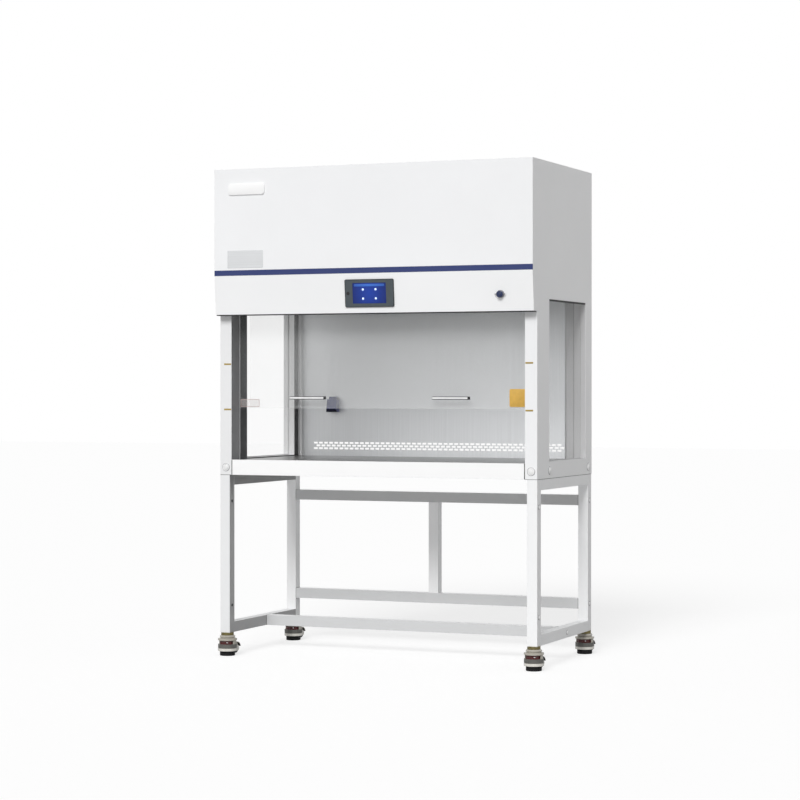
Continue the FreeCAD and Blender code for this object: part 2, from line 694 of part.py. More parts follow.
def back_liner():
    ledge_top = WORK_Z - STAINLESS
    ledge_bottom = ledge_top - STAINLESS
    wall = block(-LINER_BACK_X, LINER_BACK_X, BACK_Y, BACK_Y + STAINLESS, ledge_bottom, CEILING_Z)
    wall = cut(wall, *back_slots())
    ledge_x = INNER_X - LEDGE - SEAT_GAP
    lower = block(-ledge_x, ledge_x, BACK_Y - BACK_LEDGE, BACK_Y, ledge_bottom, ledge_top)
    upper = block(-ledge_x, ledge_x, BACK_Y - BACK_LEDGE + SHEET, BACK_Y, CEILING_Z - STAINLESS, CEILING_Z)
    return fused(wall, lower, upper)


def rear_panel():
    wide = SKIN_X - SEAT_GAP
    back = CABINET_DEPTH - SHEET
    sheet = block(-wide, wide, back, CABINET_DEPTH, STAND_TOP, ROOF_UNDER)
    field_half = (SLOT_ROWS - 1) * SLOT_ROW_PITCH / 2 + SLOT_HEIGHT / 2 + EXHAUST_MARGIN
    field_z = WORK_Z + SLOT_FIELD_Z
    reach = SLOT_FIELD_HALF + SLOT_PITCH
    exhaust = block(-reach, reach, back, CABINET_DEPTH, field_z - field_half, field_z + field_half)
    inlet_z = COVER_BOTTOM + INLET_Z
    half_w = INLET_PLATE_WIDTH / 2 - INLET_RIM + SEAT_GAP
    half_h = INLET_PLATE_HEIGHT / 2 - INLET_RIM + SEAT_GAP
    inlet = block(INLET_X - half_w, INLET_X + half_w, back, CABINET_DEPTH,
                  inlet_z - half_h, inlet_z + half_h)
    return cut(sheet, exhaust, inlet)


def power_inlet():
    inlet_z = COVER_BOTTOM + INLET_Z
    back = CABINET_DEPTH
    half_w = INLET_PLATE_WIDTH / 2
    half_h = INLET_PLATE_HEIGHT / 2
    plate = block(-half_w, half_w, back, back + INLET_PLATE_THICK, -half_h, half_h)
    body_w = half_w - INLET_RIM
    body_h = half_h - INLET_RIM
    body = block(-body_w, body_w, back - INLET_BODY_DEPTH, back, -body_h, body_h)
    well_w = body_w - INLET_RIM
    well_h = body_h - INLET_RIM / 2
    well = block(-well_w, well_w, back - INLET_WELL_DEPTH, back + INLET_PLATE_THICK, -well_h, well_h)
    return moved(cut(fused(plate, body), well), INLET_X, 0.0, inlet_z)


# Roof, front cover, stripe and fascia
def top_panel():
    sheet = block(-HALF, HALF, SHEET, CABINET_DEPTH, ROOF_UNDER, CABINET_TOP)
    slots = []
    for number in range(ROOF_SLOT_COUNT):
        slot_y = PREFILTER_Y + (number - (ROOF_SLOT_COUNT - 1) / 2) * ROOF_SLOT_PITCH
        slots.append(block(-ROOF_SLOT_LENGTH / 2, ROOF_SLOT_LENGTH / 2, slot_y - ROOF_SLOT_WIDTH / 2,
                           slot_y + ROOF_SLOT_WIDTH / 2, ROOF_UNDER, CABINET_TOP))
    return cut(sheet, *slots)


def prefilter():
    top = ROOF_UNDER - SEAT_GAP
    return block(-PREFILTER_WIDTH / 2, PREFILTER_WIDTH / 2, PREFILTER_Y - PREFILTER_LENGTH / 2,
                 PREFILTER_Y + PREFILTER_LENGTH / 2, top - PREFILTER_THICK, top)


def front_cover():
    wide = SKIN_X - SEAT_GAP
    back = SHEET + COVER_RETURN
    top = ROOF_UNDER - SEAT_GAP
    skin = block(-HALF, HALF, 0, SHEET, COVER_BOTTOM, CABINET_TOP)
    lower = block(-wide, wide, 0, back, COVER_BOTTOM, COVER_BOTTOM + SHEET)
    upper = block(-wide, wide, 0, back, top - SHEET, top)
    side = block(wide - SHEET, wide, 0, back, COVER_BOTTOM, top)
    return fused(skin, lower, upper, *both_sides(side))


def accent_stripe():
    wide = SKIN_X - SEAT_GAP
    back = SHEET + STRIPE_RETURN
    skin = block(-HALF, HALF, 0, SHEET, STRIPE_BOTTOM, COVER_BOTTOM)
    lower = block(-wide, wide, 0, back, STRIPE_BOTTOM, STRIPE_BOTTOM + SHEET)
    upper = block(-wide, wide, 0, back, COVER_BOTTOM - SHEET, COVER_BOTTOM)
    return fused(skin, lower, upper)


def fascia():
    wide = SKIN_X - SEAT_GAP
    between = INNER_X - SEAT_GAP
    skin = side_prism([
        (0.0, STRIPE_BOTTOM), (FASCIA_LEAN, FASCIA_BOTTOM),
        (FASCIA_LEAN + LEAN_SKIN, FASCIA_BOTTOM), (LEAN_SKIN, STRIPE_BOTTOM),
    ], -HALF, HALF)
    skin_back = FASCIA_LEAN + LEAN_SKIN / 2
    floor = block(-wide, wide, skin_back, FRONT_SETBACK - SEAT_GAP, FASCIA_BOTTOM, FASCIA_BOTTOM + SHEET)
    tongue = block(-between, between, skin_back, FASCIA_FLOOR, FASCIA_BOTTOM, FASCIA_BOTTOM + SHEET)
    upper = block(-wide, wide, LEAN_SKIN / 2, SHEET + STRIPE_RETURN, STRIPE_BOTTOM - SHEET, STRIPE_BOTTOM)
    shell = fused(skin, floor, tongue, upper)
    half_w = BEZEL_WIDTH / 2 - BEZEL_SHOULDER + SEAT_GAP
    half_h = BEZEL_HEIGHT / 2 - BEZEL_SHOULDER + SEAT_GAP
    window = on_fascia(block(-half_w, half_w, -SHEET, 2 * SHEET, -half_h, half_h), 0.0, DISPLAY_Z)
    hole = rod(SWITCH_BARREL_RADIUS + SEAT_GAP, 3 * SHEET, (0, -SHEET, 0), AXIS_Y)
    return cut(shell, window, on_fascia(hole, SWITCH_X, SWITCH_Z))


def display_bezel():
    half_w = BEZEL_WIDTH / 2
    half_h = BEZEL_HEIGHT / 2
    plate = block(-half_w, half_w, -BEZEL_PROUD, 0, -half_h, half_h)
    corners = [
        edge for edge in plate.Edges
        if edge.BoundBox.XLength < SEAT_GAP and edge.BoundBox.ZLength < SEAT_GAP
    ]
    plate = plate.makeFillet(BEZEL_CORNER, corners)
    body_w = half_w - BEZEL_SHOULDER
    body_h = half_h - BEZEL_SHOULDER
    body = block(-body_w, body_w, 0, DISPLAY_DEPTH, -body_h, body_h)
    recess_w = SCREEN_WIDTH / 2 + SEAT_GAP
    recess_h = SCREEN_HEIGHT / 2 + SEAT_GAP
    recess = block(-recess_w, recess_w, -BEZEL_PROUD, SCREEN_RECESS - BEZEL_PROUD, -recess_h, recess_h)
    sensor = rod(SENSOR_RADIUS, SCREEN_RECESS, (SENSOR_X, -BEZEL_PROUD, 0), AXIS_Y)
    return on_fascia(cut(fused(plate, body), recess, sensor), 0.0, DISPLAY_Z)


def display_screen():
    floor = SCREEN_RECESS - BEZEL_PROUD
    half_w = SCREEN_WIDTH / 2
    half_h = SCREEN_HEIGHT / 2
    return on_fascia(block(-half_w, half_w, floor - SCREEN_THICK, floor, -half_h, half_h), 0.0, DISPLAY_Z)


def switch_ring():
    ring = rod(SWITCH_RING_RADIUS, SWITCH_RING_PROUD, (0, -SWITCH_RING_PROUD, 0), AXIS_Y)
    barrel = rod(SWITCH_BARREL_RADIUS, SWITCH_BARREL_LENGTH, (0, 0, 0), AXIS_Y)
    through = SWITCH_RING_PROUD + SWITCH_BARREL_LENGTH
    bore = rod(SWITCH_SHAFT_RADIUS + RUNNING_GAP, through, (0, -SWITCH_RING_PROUD, 0), AXIS_Y)
    return on_fascia(cut(fused(ring, barrel), bore), SWITCH_X, SWITCH_Z)


def switch_knob():
    seat = -SWITCH_RING_PROUD - SEAT_GAP
    cap = rod(SWITCH_CAP_RADIUS, SWITCH_CAP_LENGTH, (0, seat - SWITCH_CAP_LENGTH, 0), AXIS_Y)
    wing = block(-SWITCH_WING_SPAN / 2, SWITCH_WING_SPAN / 2, seat - SWITCH_WING_THICK, seat,
                 -SWITCH_WING_HEIGHT / 2, SWITCH_WING_HEIGHT / 2)
    shaft = rod(SWITCH_SHAFT_RADIUS, SWITCH_SHAFT_LENGTH, (0, seat, 0), AXIS_Y)
    return on_fascia(fused(cap, wing, shaft), SWITCH_X, SWITCH_Z)


# Sliding front sash
def sash_glass():
    reach = INNER_X + SASH_GRIP
    return block(-reach, reach, GLASS_FRONT, GLASS_BACK, SASH_BOTTOM, SASH_TOP)


def sash_rail():
    reach = INNER_X - RAIL_END_GAP
    front = GLASS_FRONT - SEAT_GAP - RAIL_WALL
    back = GLASS_BACK + SEAT_GAP + RAIL_WALL
    bar = block(-reach, reach, front, back, SASH_TOP - RAIL_BITE, SASH_TOP + RAIL_TOP)
    groove = block(-reach, reach, GLASS_FRONT - SEAT_GAP, GLASS_BACK + SEAT_GAP,
                   SASH_TOP - RAIL_BITE, SASH_TOP + SEAT_GAP)
    ear = block(reach, CABLE_X + EAR_THICK, CABLE_Y - EAR_THICK / 2, CABLE_Y + EAR_THICK / 2,
                SASH_TOP + EAR_RISE, SASH_TOP + RAIL_TOP)
    return fused(cut(bar, groove), *both_sides(ear))


def sash_handle():
    height = SASH_BOTTOM + HANDLE_Z
    half = HANDLE_BAR / 2
    bar_back = GLASS_FRONT - HANDLE_STANDOFF
    bar = block(HANDLE_X - HANDLE_LENGTH / 2, HANDLE_X + HANDLE_LENGTH / 2, bar_back - HANDLE_BAR, bar_back,
                height - half, height + half)
    feet = []
    for side in (-1, 1):
        foot_x = HANDLE_X + side * (HANDLE_LENGTH / 2 - HANDLE_FOOT_INSET)
        feet.append(rod(HANDLE_FOOT / 2, HANDLE_STANDOFF + half, (foot_x, bar_back - half, height), AXIS_Y))
    return fused(bar, *feet)


def sash_handles():
    return Part.makeCompound(both_sides(sash_handle()))


# Counterbalance inside the side walls
def pulley_shaft():
    half = PULLEY_WIDTH / 2
    groove = CABLE_TURN_RADIUS - CABLE_RADIUS - GROOVE_DROP
    wheel = turned([
        (0.0, -half), (PULLEY_RADIUS, -half), (PULLEY_RADIUS, -half / 2), (groove, -CABLE_RADIUS),
        (groove, CABLE_RADIUS), (PULLEY_RADIUS, half / 2), (PULLEY_RADIUS, half), (0.0, half),
    ])
    wheel.rotate(ORIGIN, AXIS_Y, 90)
    end = SKIN_X - SEAT_GAP
    shaft = rod(SHAFT_RADIUS, 2 * end, (-end, PULLEY_Y, PULLEY_Z), AXIS_X)
    return fused(shaft, *both_sides(moved(wheel, CABLE_X, PULLEY_Y, PULLEY_Z)))


def shaft_bearings():
    half = BEARING_SIDE / 2
    near = SKIN_X - BEARING_THICK
    plate = block(near, SKIN_X, PULLEY_Y - half, PULLEY_Y + half, PULLEY_Z - half, PULLEY_Z + half)
    bore = rod(SHAFT_RADIUS + RUNNING_GAP, BEARING_THICK, (near, PULLEY_Y, PULLEY_Z), AXIS_X)
    return Part.makeCompound(both_sides(cut(plate, bore)))


def counterweight():
    half = WEIGHT_SIDE / 2
    bottom = WORK_Z + WEIGHT_REST_Z
    top = bottom + WEIGHT_LENGTH
    return block(CABLE_X - half, CABLE_X + half, WEIGHT_Y - half, WEIGHT_Y + half, bottom, top)


def sash_cable():
    anchor = FreeCAD.Vector(CABLE_X, CABLE_Y, SASH_TOP + RAIL_TOP)
    up = FreeCAD.Vector(CABLE_X, CABLE_Y, PULLEY_Z)
    crown = FreeCAD.Vector(CABLE_X, PULLEY_Y, PULLEY_Z + CABLE_TURN_RADIUS)
    down = FreeCAD.Vector(CABLE_X, WEIGHT_Y, PULLEY_Z)
    weight = FreeCAD.Vector(CABLE_X, WEIGHT_Y, WORK_Z + WEIGHT_REST_Z + WEIGHT_LENGTH)
    runs = [Part.LineSegment(anchor, up), Part.Arc(up, crown, down), Part.LineSegment(down, weight)]
    path = Part.Wire([run.toShape() for run in runs])
    section = Part.Wire([Part.makeCircle(CABLE_RADIUS, anchor, AXIS_Z)])
    return path.makePipeShell([section], True, True)


# Waterproof socket with a spring-free flap on the back wall
def socket_local(shape):
    return moved(shape, SOCKET_X, BACK_Y, WORK_Z + SOCKET_Z)


def socket_box():
    half = SOCKET_WIDTH / 2
    high = SOCKET_HEIGHT / 2
    front = -SOCKET_DEPTH
    body = block(-half, half, front, 0, -high, high)
    well = rod(SOCKET_WELL_RADIUS, SOCKET_WELL_DEPTH, (0, front, 0), AXIS_Y)
    pin_y = front + SOCKET_PIN_SETBACK
    pin_z = high + SOCKET_PIN_RISE
    ear_x = SOCKET_BARREL_LENGTH / 2 + SEAT_GAP
    ear = fused(
        rod(SOCKET_EAR_RADIUS, SOCKET_EAR_THICK, (ear_x, pin_y, pin_z), AXIS_X),
        block(ear_x, ear_x + SOCKET_EAR_THICK, pin_y - SOCKET_EAR_RADIUS, pin_y + SOCKET_EAR_RADIUS,
              high, pin_z),
    )
    pin = rod(SOCKET_PIN_RADIUS, 2 * ear_x, (-ear_x, pin_y, pin_z), AXIS_X)
    return socket_local(fused(cut(body, well), pin, *both_sides(ear)))


def socket_flap():
    half = SOCKET_WIDTH / 2
    high = SOCKET_HEIGHT / 2
    back = -SOCKET_DEPTH - SEAT_GAP
    front = back - FLAP_THICK
    pin_y = SOCKET_PIN_SETBACK - SOCKET_DEPTH
    pin_z = high + SOCKET_PIN_RISE
    barrel_half = SOCKET_BARREL_LENGTH / 2
    belly = back - FLAP_BELLY
    lip_top = FLAP_LIP_HEIGHT - high
    lid = side_prism([(back, high), (front, high), (belly, lip_top), (belly - FLAP_LIP, lip_top),
                      (belly - FLAP_LIP, -high), (back, -high)], -half, half)
    inside = side_prism([(back, high - FLAP_WALL), (front + FLAP_WALL, high - FLAP_WALL),
                         (belly + FLAP_WALL, lip_top), (belly + FLAP_WALL, FLAP_WALL - high),
                         (back, FLAP_WALL - high)], FLAP_WALL - half, half - FLAP_WALL)
    web = block(-barrel_half, barrel_half, front, pin_y, pin_z - SOCKET_KNUCKLE_RADIUS, pin_z)
    root = block(-barrel_half, barrel_half, front, back, high, pin_z)
    barrel = rod(SOCKET_KNUCKLE_RADIUS, SOCKET_BARREL_LENGTH, (-barrel_half, pin_y, pin_z), AXIS_X)
    bore = rod(SOCKET_PIN_RADIUS + RUNNING_GAP, SOCKET_BARREL_LENGTH, (-barrel_half, pin_y, pin_z), AXIS_X)
    return socket_local(cut(fused(lid, web, root, barrel), inside, bore))


# Filter, plenum and fan
def filter_reach():
    return INNER_X - FILTER_SIDE_GAP, FILTER_FRONT, BACK_Y - FILTER_SIDE_GAP


def filter_frame():
    wide, front, back = filter_reach()
    outer = block(-wide, wide, front, back, CEILING_Z, FILTER_TOP)
    inner = block(FILTER_FRAME - wide, wide - FILTER_FRAME, front + FILTER_FRAME, back - FILTER_FRAME,
                  CEILING_Z, FILTER_TOP)
    return cut(outer, inner)


def filter_media():
    wide, front, back = filter_reach()
    inset = FILTER_FRAME + SEAT_GAP
    return block(inset - wide, wide - inset, front + inset, back - inset,
                 CEILING_Z + MEDIA_INSET, FILTER_TOP - MEDIA_INSET)


def fan_middle():
    wide, front, back = filter_reach()
    return (front + back) / 2


def fan_deck():
    wide, front, back = filter_reach()
    wide -= PLENUM_STEP
    front += PLENUM_STEP
    back -= PLENUM_STEP
    outer = block(-wide, wide, front, back, FILTER_TOP, DECK_TOP)
    inner = block(SHEET - wide, wide - SHEET, front + SHEET, back - SHEET, FILTER_TOP, DECK_TOP - SHEET)
    eye = (0, fan_middle(), DECK_TOP - INLET_LENGTH)
    collar = rod(INLET_RADIUS + INLET_WALL, INLET_LENGTH, eye)
    return cut(fused(cut(outer, inner), collar), rod(INLET_RADIUS, INLET_LENGTH, eye))


def blade():
    inner = IMPELLER_HUB + IMPELLER_DROP
    outer = IMPELLER_RADIUS - BLADE_THICK
    sweep = math.radians(BLADE_SWEEP)
    start = FreeCAD.Vector(inner, 0, 0)
    end = FreeCAD.Vector(outer * math.cos(sweep), outer * math.sin(sweep), 0)
    middle_radius = (inner + outer) / 2
    bow = sweep * BLADE_BOW
    middle = FreeCAD.Vector(middle_radius * math.cos(bow), middle_radius * math.sin(bow), 0)
    arc = Part.Arc(start, middle, end).toShape()
    strip = arc.extrude(FreeCAD.Vector(0, 0, IMPELLER_HEIGHT - 2 * IMPELLER_PLATE))
    return strip.makeOffsetShape(BLADE_THICK, OFFSET_TOLERANCE, fill=True)


def fan_impeller():
    low = DECK_TOP - IMPELLER_DROP - IMPELLER_HEIGHT
    plate = rod(IMPELLER_RADIUS, IMPELLER_PLATE, (0, 0, 0))
    hub = rod(IMPELLER_HUB, IMPELLER_HEIGHT - IMPELLER_DROP, (0, 0, 0))
    shroud_z = IMPELLER_HEIGHT - IMPELLER_PLATE
    shroud = cut(rod(IMPELLER_RADIUS, IMPELLER_PLATE, (0, 0, shroud_z)),
                 rod(IMPELLER_EYE, IMPELLER_PLATE, (0, 0, shroud_z)))
    blades = []
    for number in range(BLADE_COUNT):
        placed = moved(blade(), 0, 0, IMPELLER_PLATE)
        placed.rotate(ORIGIN, AXIS_Z, FULL_TURN * number / BLADE_COUNT)
        blades.append(placed)
    wheel = fused(plate, hub, shroud, *blades)
    bore = rod(MOTOR_SHAFT + RUNNING_GAP, IMPELLER_HEIGHT, (0, 0, 0))
    return moved(cut(wheel, bore), 0, fan_middle(), low)


def fan_motor():
    impeller_low = DECK_TOP - IMPELLER_DROP - IMPELLER_HEIGHT
    top = impeller_low - MOTOR_GAP
    bottom = top - MOTOR_HEIGHT
    can = rod(MOTOR_RADIUS, MOTOR_HEIGHT, (0, 0, bottom))
    shoulder = rod(MOTOR_SHOULDER, MOTOR_GAP - SEAT_GAP, (0, 0, top))
    shaft = rod(MOTOR_SHAFT, MOTOR_GAP + IMPELLER_HEIGHT - IMPELLER_DROP, (0, 0, top))
    half = SPIDER_WIDTH / 2
    long_bar = block(-SPIDER_REACH, SPIDER_REACH, -half, half, bottom - SPIDER_THICK, bottom)
    cross_bar = block(-half, half, -SPIDER_REACH, SPIDER_REACH, bottom - SPIDER_THICK, bottom)
    hangers = []
    hang_at = SPIDER_REACH - half
    for x, y in ((hang_at, 0), (-hang_at, 0), (0, hang_at), (0, -hang_at)):
        hangers.append(rod(HANGER_RADIUS, DECK_TOP - SHEET - bottom, (x, y, bottom)))
    return moved(fused(can, shoulder, shaft, long_bar, cross_bar, *hangers), 0, fan_middle())


# Lamps and control box
def led_lamp():
    top = CEILING_Z - SEAT_GAP
    chamfer = LED_HEIGHT / 2
    front = FILTER_FRONT + LED_SETBACK
    return side_prism([
        (front, top), (front + LED_WIDTH, top), (front + LED_WIDTH, top - chamfer),
        (front + LED_WIDTH - chamfer, top - LED_HEIGHT), (front + chamfer, top - LED_HEIGHT),
        (front, top - chamfer),
    ], -LED_LENGTH / 2, LED_LENGTH / 2)


def uv_lamp():
    lamp_y = BACK_Y - UV_REACH
    lamp_z = CEILING_Z - UV_DROP
    tube = rod(UV_RADIUS, UV_LENGTH, (-UV_LENGTH / 2, lamp_y, lamp_z), AXIS_X)
    edge = UV_RADIUS + UV_HOLDER_EDGE
    holder = block(UV_LENGTH / 2, UV_LENGTH / 2 + UV_HOLDER, lamp_y - edge, BACK_Y - SEAT_GAP,
                   lamp_z - edge, lamp_z + edge)
    return Part.makeCompound([tube] + both_sides(holder))


def control_box():
    bottom = COVER_BOTTOM + CONTROL_BOX_Z
    right = CONTROL_BOX_X + CONTROL_BOX_WIDTH
    top = bottom + CONTROL_BOX_HEIGHT
    back = SHEET + CONTROL_BOX_DEPTH
    outer = block(CONTROL_BOX_X, right, SHEET, back, bottom, top)
    inner = block(CONTROL_BOX_X + CONTROL_LID, right - CONTROL_LID, SHEET, back - CONTROL_LID,
                  bottom + CONTROL_LID, top - CONTROL_LID)
    return cut(outer, inner)


def all_nodes():
    nodes = {
        "stand_side_right": stand_side(),
        "stand_side_left": mirrored(stand_side()),
        "stand_rear_frame": stand_rear_frame(),
        "stand_cross_beam": stand_cross_beam(),
        "bolt_caps": bolt_caps(),
        "side_panel_right": side_panel(),
        "side_panel_left": mirrored(side_panel()),
        "side_liner_right": side_liner(),
        "side_liner_left": mirrored(side_liner()),
        "side_glass_right": side_glass(),
        "side_glass_left": mirrored(side_glass()),
        "base_pan": base_pan(),
        "worktop": worktop(),
        "back_liner": back_liner(),
        "rear_panel": rear_panel(),
        "power_inlet": power_inlet(),
        "top_panel": top_panel(),
        "prefilter": prefilter(),
        "front_cover": front_cover(),
        "accent_stripe": accent_stripe(),
        "fascia": fascia(),
        "display_bezel": display_bezel(),
        "display_screen": display_screen(),
        "switch_ring": switch_ring(),
        "switch_knob": switch_knob(),
        "sash_glass": sash_glass(),
        "sash_rail": sash_rail(),
        "sash_handles": sash_handles(),
        "pulley_shaft": pulley_shaft(),
        "shaft_bearings": shaft_bearings(),
        "counterweight_right": counterweight(),
        "counterweight_left": mirrored(counterweight()),
        "sash_cables": Part.makeCompound(both_sides(sash_cable())),
        "socket_box": socket_box(),
        "socket_flap": socket_flap(),
        "filter_frame": filter_frame(),
        "filter_media": filter_media(),
        "fan_deck": fan_deck(),
        "fan_impeller": fan_impeller(),
        "fan_motor": fan_motor(),
        "led_lamp": led_lamp(),
        "uv_lamp": uv_lamp(),
        "control_box": control_box(),
    }
    nodes.update(casters())
    return nodes


os.makedirs("parts", exist_ok=True)
built = all_nodes()
centre_y = Part.makeCompound(list(built.values())).BoundBox.Center.y
for node_name, node_shape in built.items():
    moved(node_shape, 0.0, -centre_y).exportStep("parts/" + node_name + ".step")
print(len(built), "nodes, middle of the footprint", round(centre_y, 3), "mm behind the front cover")
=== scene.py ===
"""Dresses the vertical laminar flow cabinet: finishes, trim, lamps and camera. All lengths are in metres."""

import logging
import math
from dataclasses import dataclass
from enum import Enum
from typing import Callable

import bpy
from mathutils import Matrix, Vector


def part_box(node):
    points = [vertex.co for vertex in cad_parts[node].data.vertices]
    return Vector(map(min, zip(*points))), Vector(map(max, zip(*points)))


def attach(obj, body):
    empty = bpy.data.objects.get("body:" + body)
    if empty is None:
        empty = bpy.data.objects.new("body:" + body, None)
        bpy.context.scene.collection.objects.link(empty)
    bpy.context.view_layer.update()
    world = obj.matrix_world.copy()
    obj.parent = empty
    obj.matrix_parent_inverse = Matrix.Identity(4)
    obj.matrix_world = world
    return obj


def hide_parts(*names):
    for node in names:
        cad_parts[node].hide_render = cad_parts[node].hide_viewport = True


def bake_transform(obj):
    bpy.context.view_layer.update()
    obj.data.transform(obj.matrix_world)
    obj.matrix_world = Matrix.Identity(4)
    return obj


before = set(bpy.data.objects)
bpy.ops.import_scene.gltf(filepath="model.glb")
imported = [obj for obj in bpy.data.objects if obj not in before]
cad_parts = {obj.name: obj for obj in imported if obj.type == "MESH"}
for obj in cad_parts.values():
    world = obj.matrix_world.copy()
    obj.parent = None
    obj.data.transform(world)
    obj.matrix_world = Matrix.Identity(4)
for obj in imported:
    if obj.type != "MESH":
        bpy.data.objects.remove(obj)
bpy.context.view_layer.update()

log = logging.getLogger("cabinet")

Span = tuple[float, float]
Point = tuple[float, float, float]
Colour = tuple[float, float, float]
Socket = bpy.types.NodeSocket
Test = Callable[[Vector, Vector], bool]

# Two places are the same within NEAR, and lie on the same sheet within SHEET_NEAR.
NEAR = 1e-5
SHEET_NEAR = 0.0004
# A direction runs along another one from the cosine ALONG on, and exactly so from EXACTLY on.
ALONG = 0.9
EXACTLY = 0.99
SMOOTH_DEG = 35.0


class Corner(Enum):
    """The stand's four corners, each with the sides of its X and Y."""

    FRONT_LEFT = ("front_left", -1, -1)
    FRONT_RIGHT = ("front_right", 1, -1)
    REAR_LEFT = ("rear_left", -1, 1)
    REAR_RIGHT = ("rear_right", 1, 1)

    @property
    def word(self) -> str:
        """The corner's word in the names of its pieces."""
        return self.value[0]


class Grain(Enum):
    """The direction in which a steel sheet is brushed, as a stretch of its pattern."""

    ALONG_X = (3.0, 900.0, 900.0)
    ALONG_Z = (900.0, 900.0, 3.0)


class Gloss(Enum):
    """How a moulded plastic shines: its roughness and its clear coat."""

    MATT = (0.62, 0.0)
    SATIN = (0.42, 0.0)
    GLOSSY = (0.22, 0.35)


class Graph:
    """A material's nodes around its one Principled shader."""

    middle_range: Span = (0.3, 0.7)
    edge_samples: int = 4

    def __init__(self, name: str) -> None:
        """Starts an empty material.

        Args:
            name: The material's name.
        """
        self.material = bpy.data.materials.new(name)
        self.material.use_nodes = True
        self.nodes = self.material.node_tree.nodes
        self.shader = self.nodes["Principled BSDF"]

    def link(self, source: Socket, target: Socket) -> None:
        """Joins two sockets."""
        self.material.node_tree.links.new(source, target)

    def values(self, **sockets: float | Colour) -> None:
        """Sets the shader's own sockets, with underscores for the spaces in their names.

        Args:
            sockets: Each socket's name and its value. A colour has three numbers.
        """
        for name, value in sockets.items():
            socket = self.shader.inputs[name.replace("_", " ")]
            socket.default_value = (*value, 1.0) if isinstance(value, tuple) else value

    def place(self, stretch: Point = (1.0, 1.0, 1.0), centre: Point = (0.0, 0.0, 0.0)) -> Socket:
        """Gives the piece's own coordinates, stretched about a middle.

        Args:
            stretch: How many times the pattern repeats in a metre, along each axis.
            centre: The place that becomes the pattern's middle.

        Returns:
            The mapped coordinates' socket.
        """
        coordinates = self.nodes.new("ShaderNodeTexCoord")
        mapping = self.nodes.new("ShaderNodeMapping")
        mapping.inputs["Scale"].default_value = stretch
        mapping.inputs["Location"].default_value = [-part * factor for part, factor in zip(centre, stretch)]
        self.link(coordinates.outputs["Object"], mapping.inputs["Vector"])
        return mapping.outputs["Vector"]

    def noise(self, place: Socket, scale: float, detail: float = 2.0) -> Socket:
        """Makes a cloudy pattern.

        Args:
            place: The coordinates to read.
            scale: The pattern's scale on them.
            detail: The number of finer layers.

        Returns:
            The pattern's value, from 0 to 1.
        """
        texture = self.nodes.new("ShaderNodeTexNoise")
        texture.inputs["Scale"].default_value = scale
        texture.inputs["Detail"].default_value = detail
        self.link(place, texture.inputs["Vector"])
        return texture.outputs["Fac"]

    def remap(self, value: Socket, source: Span, target: Span) -> Socket:
        """Maps a value from one range onto another, and holds it at the ends.

        Args:
            value: The value's socket.
            source: The range that it has.
            target: The range that it gets.

        Returns:
            The mapped value's socket.
        """
        span = self.nodes.new("ShaderNodeMapRange")
        names = ("From Min", "From Max", "To Min", "To Max")
        for name, number in zip(names, (*source, *target)):
            span.inputs[name].default_value = number
        self.link(value, span.inputs["Value"])
        return span.outputs["Result"]

    def roughen(self, pattern: Socket, roughness: float, spread: Span) -> None:
        """Lets the shader's roughness vary with a pattern.

        Args:
            pattern: The pattern.
            roughness: The roughness that it varies about.
            spread: What is added to it at the pattern's low and high ends.
        """
        low, high = (roughness + part for part in spread)
        self.link(self.remap(pattern, self.middle_range, (low, high)), self.shader.inputs["Roughness"])

    def mottle(self, pattern: Socket, colour: Colour, tones: Span) -> None:
        """Colours the shader by a pattern.

        Args:
            pattern: The pattern.
            colour: The finish's colour.
            tones: The factors on it at the pattern's low and high ends.
        """
        ramp = self.nodes.new("ShaderNodeValToRGB")
        for element, position, tone in zip(ramp.color_ramp.elements, self.middle_range, tones):
            element.position = position
            element.color = (*shade(colour, tone), 1.0)
        self.link(pattern, ramp.inputs["Fac"])
        self.link(ramp.outputs["Color"], self.shader.inputs["Base Color"])

    def brighten(self, ends: Span, factor: float) -> None:
        """Scales the shader's colour by a factor that grows from 1 between two places along X, as painted
        light.

        Args:
            ends: The two places.
            factor: The factor at the second one.
        """
        colour = self.shader.inputs["Base Color"].links[0].from_socket
        parts = self.nodes.new("ShaderNodeSeparateXYZ")
        self.link(self.place(), parts.inputs["Vector"])
        scale = self.nodes.new("ShaderNodeVectorMath")
        scale.operation = "SCALE"
        self.link(colour, scale.inputs["Vector"])
        self.link(self.remap(parts.outputs["X"], ends, (1.0, factor)), scale.inputs["Scale"])
        self.link(scale.outputs["Vector"], self.shader.inputs["Base Color"])

    def relief(self, height: Socket, depth: float, strength: float = 1.0, edge: float = 0.0) -> None:
        """Raises the surface by a pattern, and softens its edges.

        Args:
            height: The pattern.
            depth: The relief's depth.
            strength: How much of it shows.
            edge: The radius to which sharp edges are softened, or 0 for none.
        """
        bump = self.nodes.new("ShaderNodeBump")
        bump.inputs["Distance"].default_value = depth
        bump.inputs["Strength"].default_value = strength
        self.link(height, bump.inputs["Height"])
        if edge:
            soft = self.nodes.new("ShaderNodeBevel")
            soft.samples = self.edge_samples
            soft.inputs["Radius"].default_value = edge
            self.link(soft.outputs["Normal"], bump.inputs["Normal"])
        self.link(bump.outputs["Normal"], self.shader.inputs["Normal"])


def shade(colour: Colour, factor: float) -> Colour:
    """Darkens or lightens a colour by a factor."""
    return tuple(min(1.0, part * factor) for part in colour)


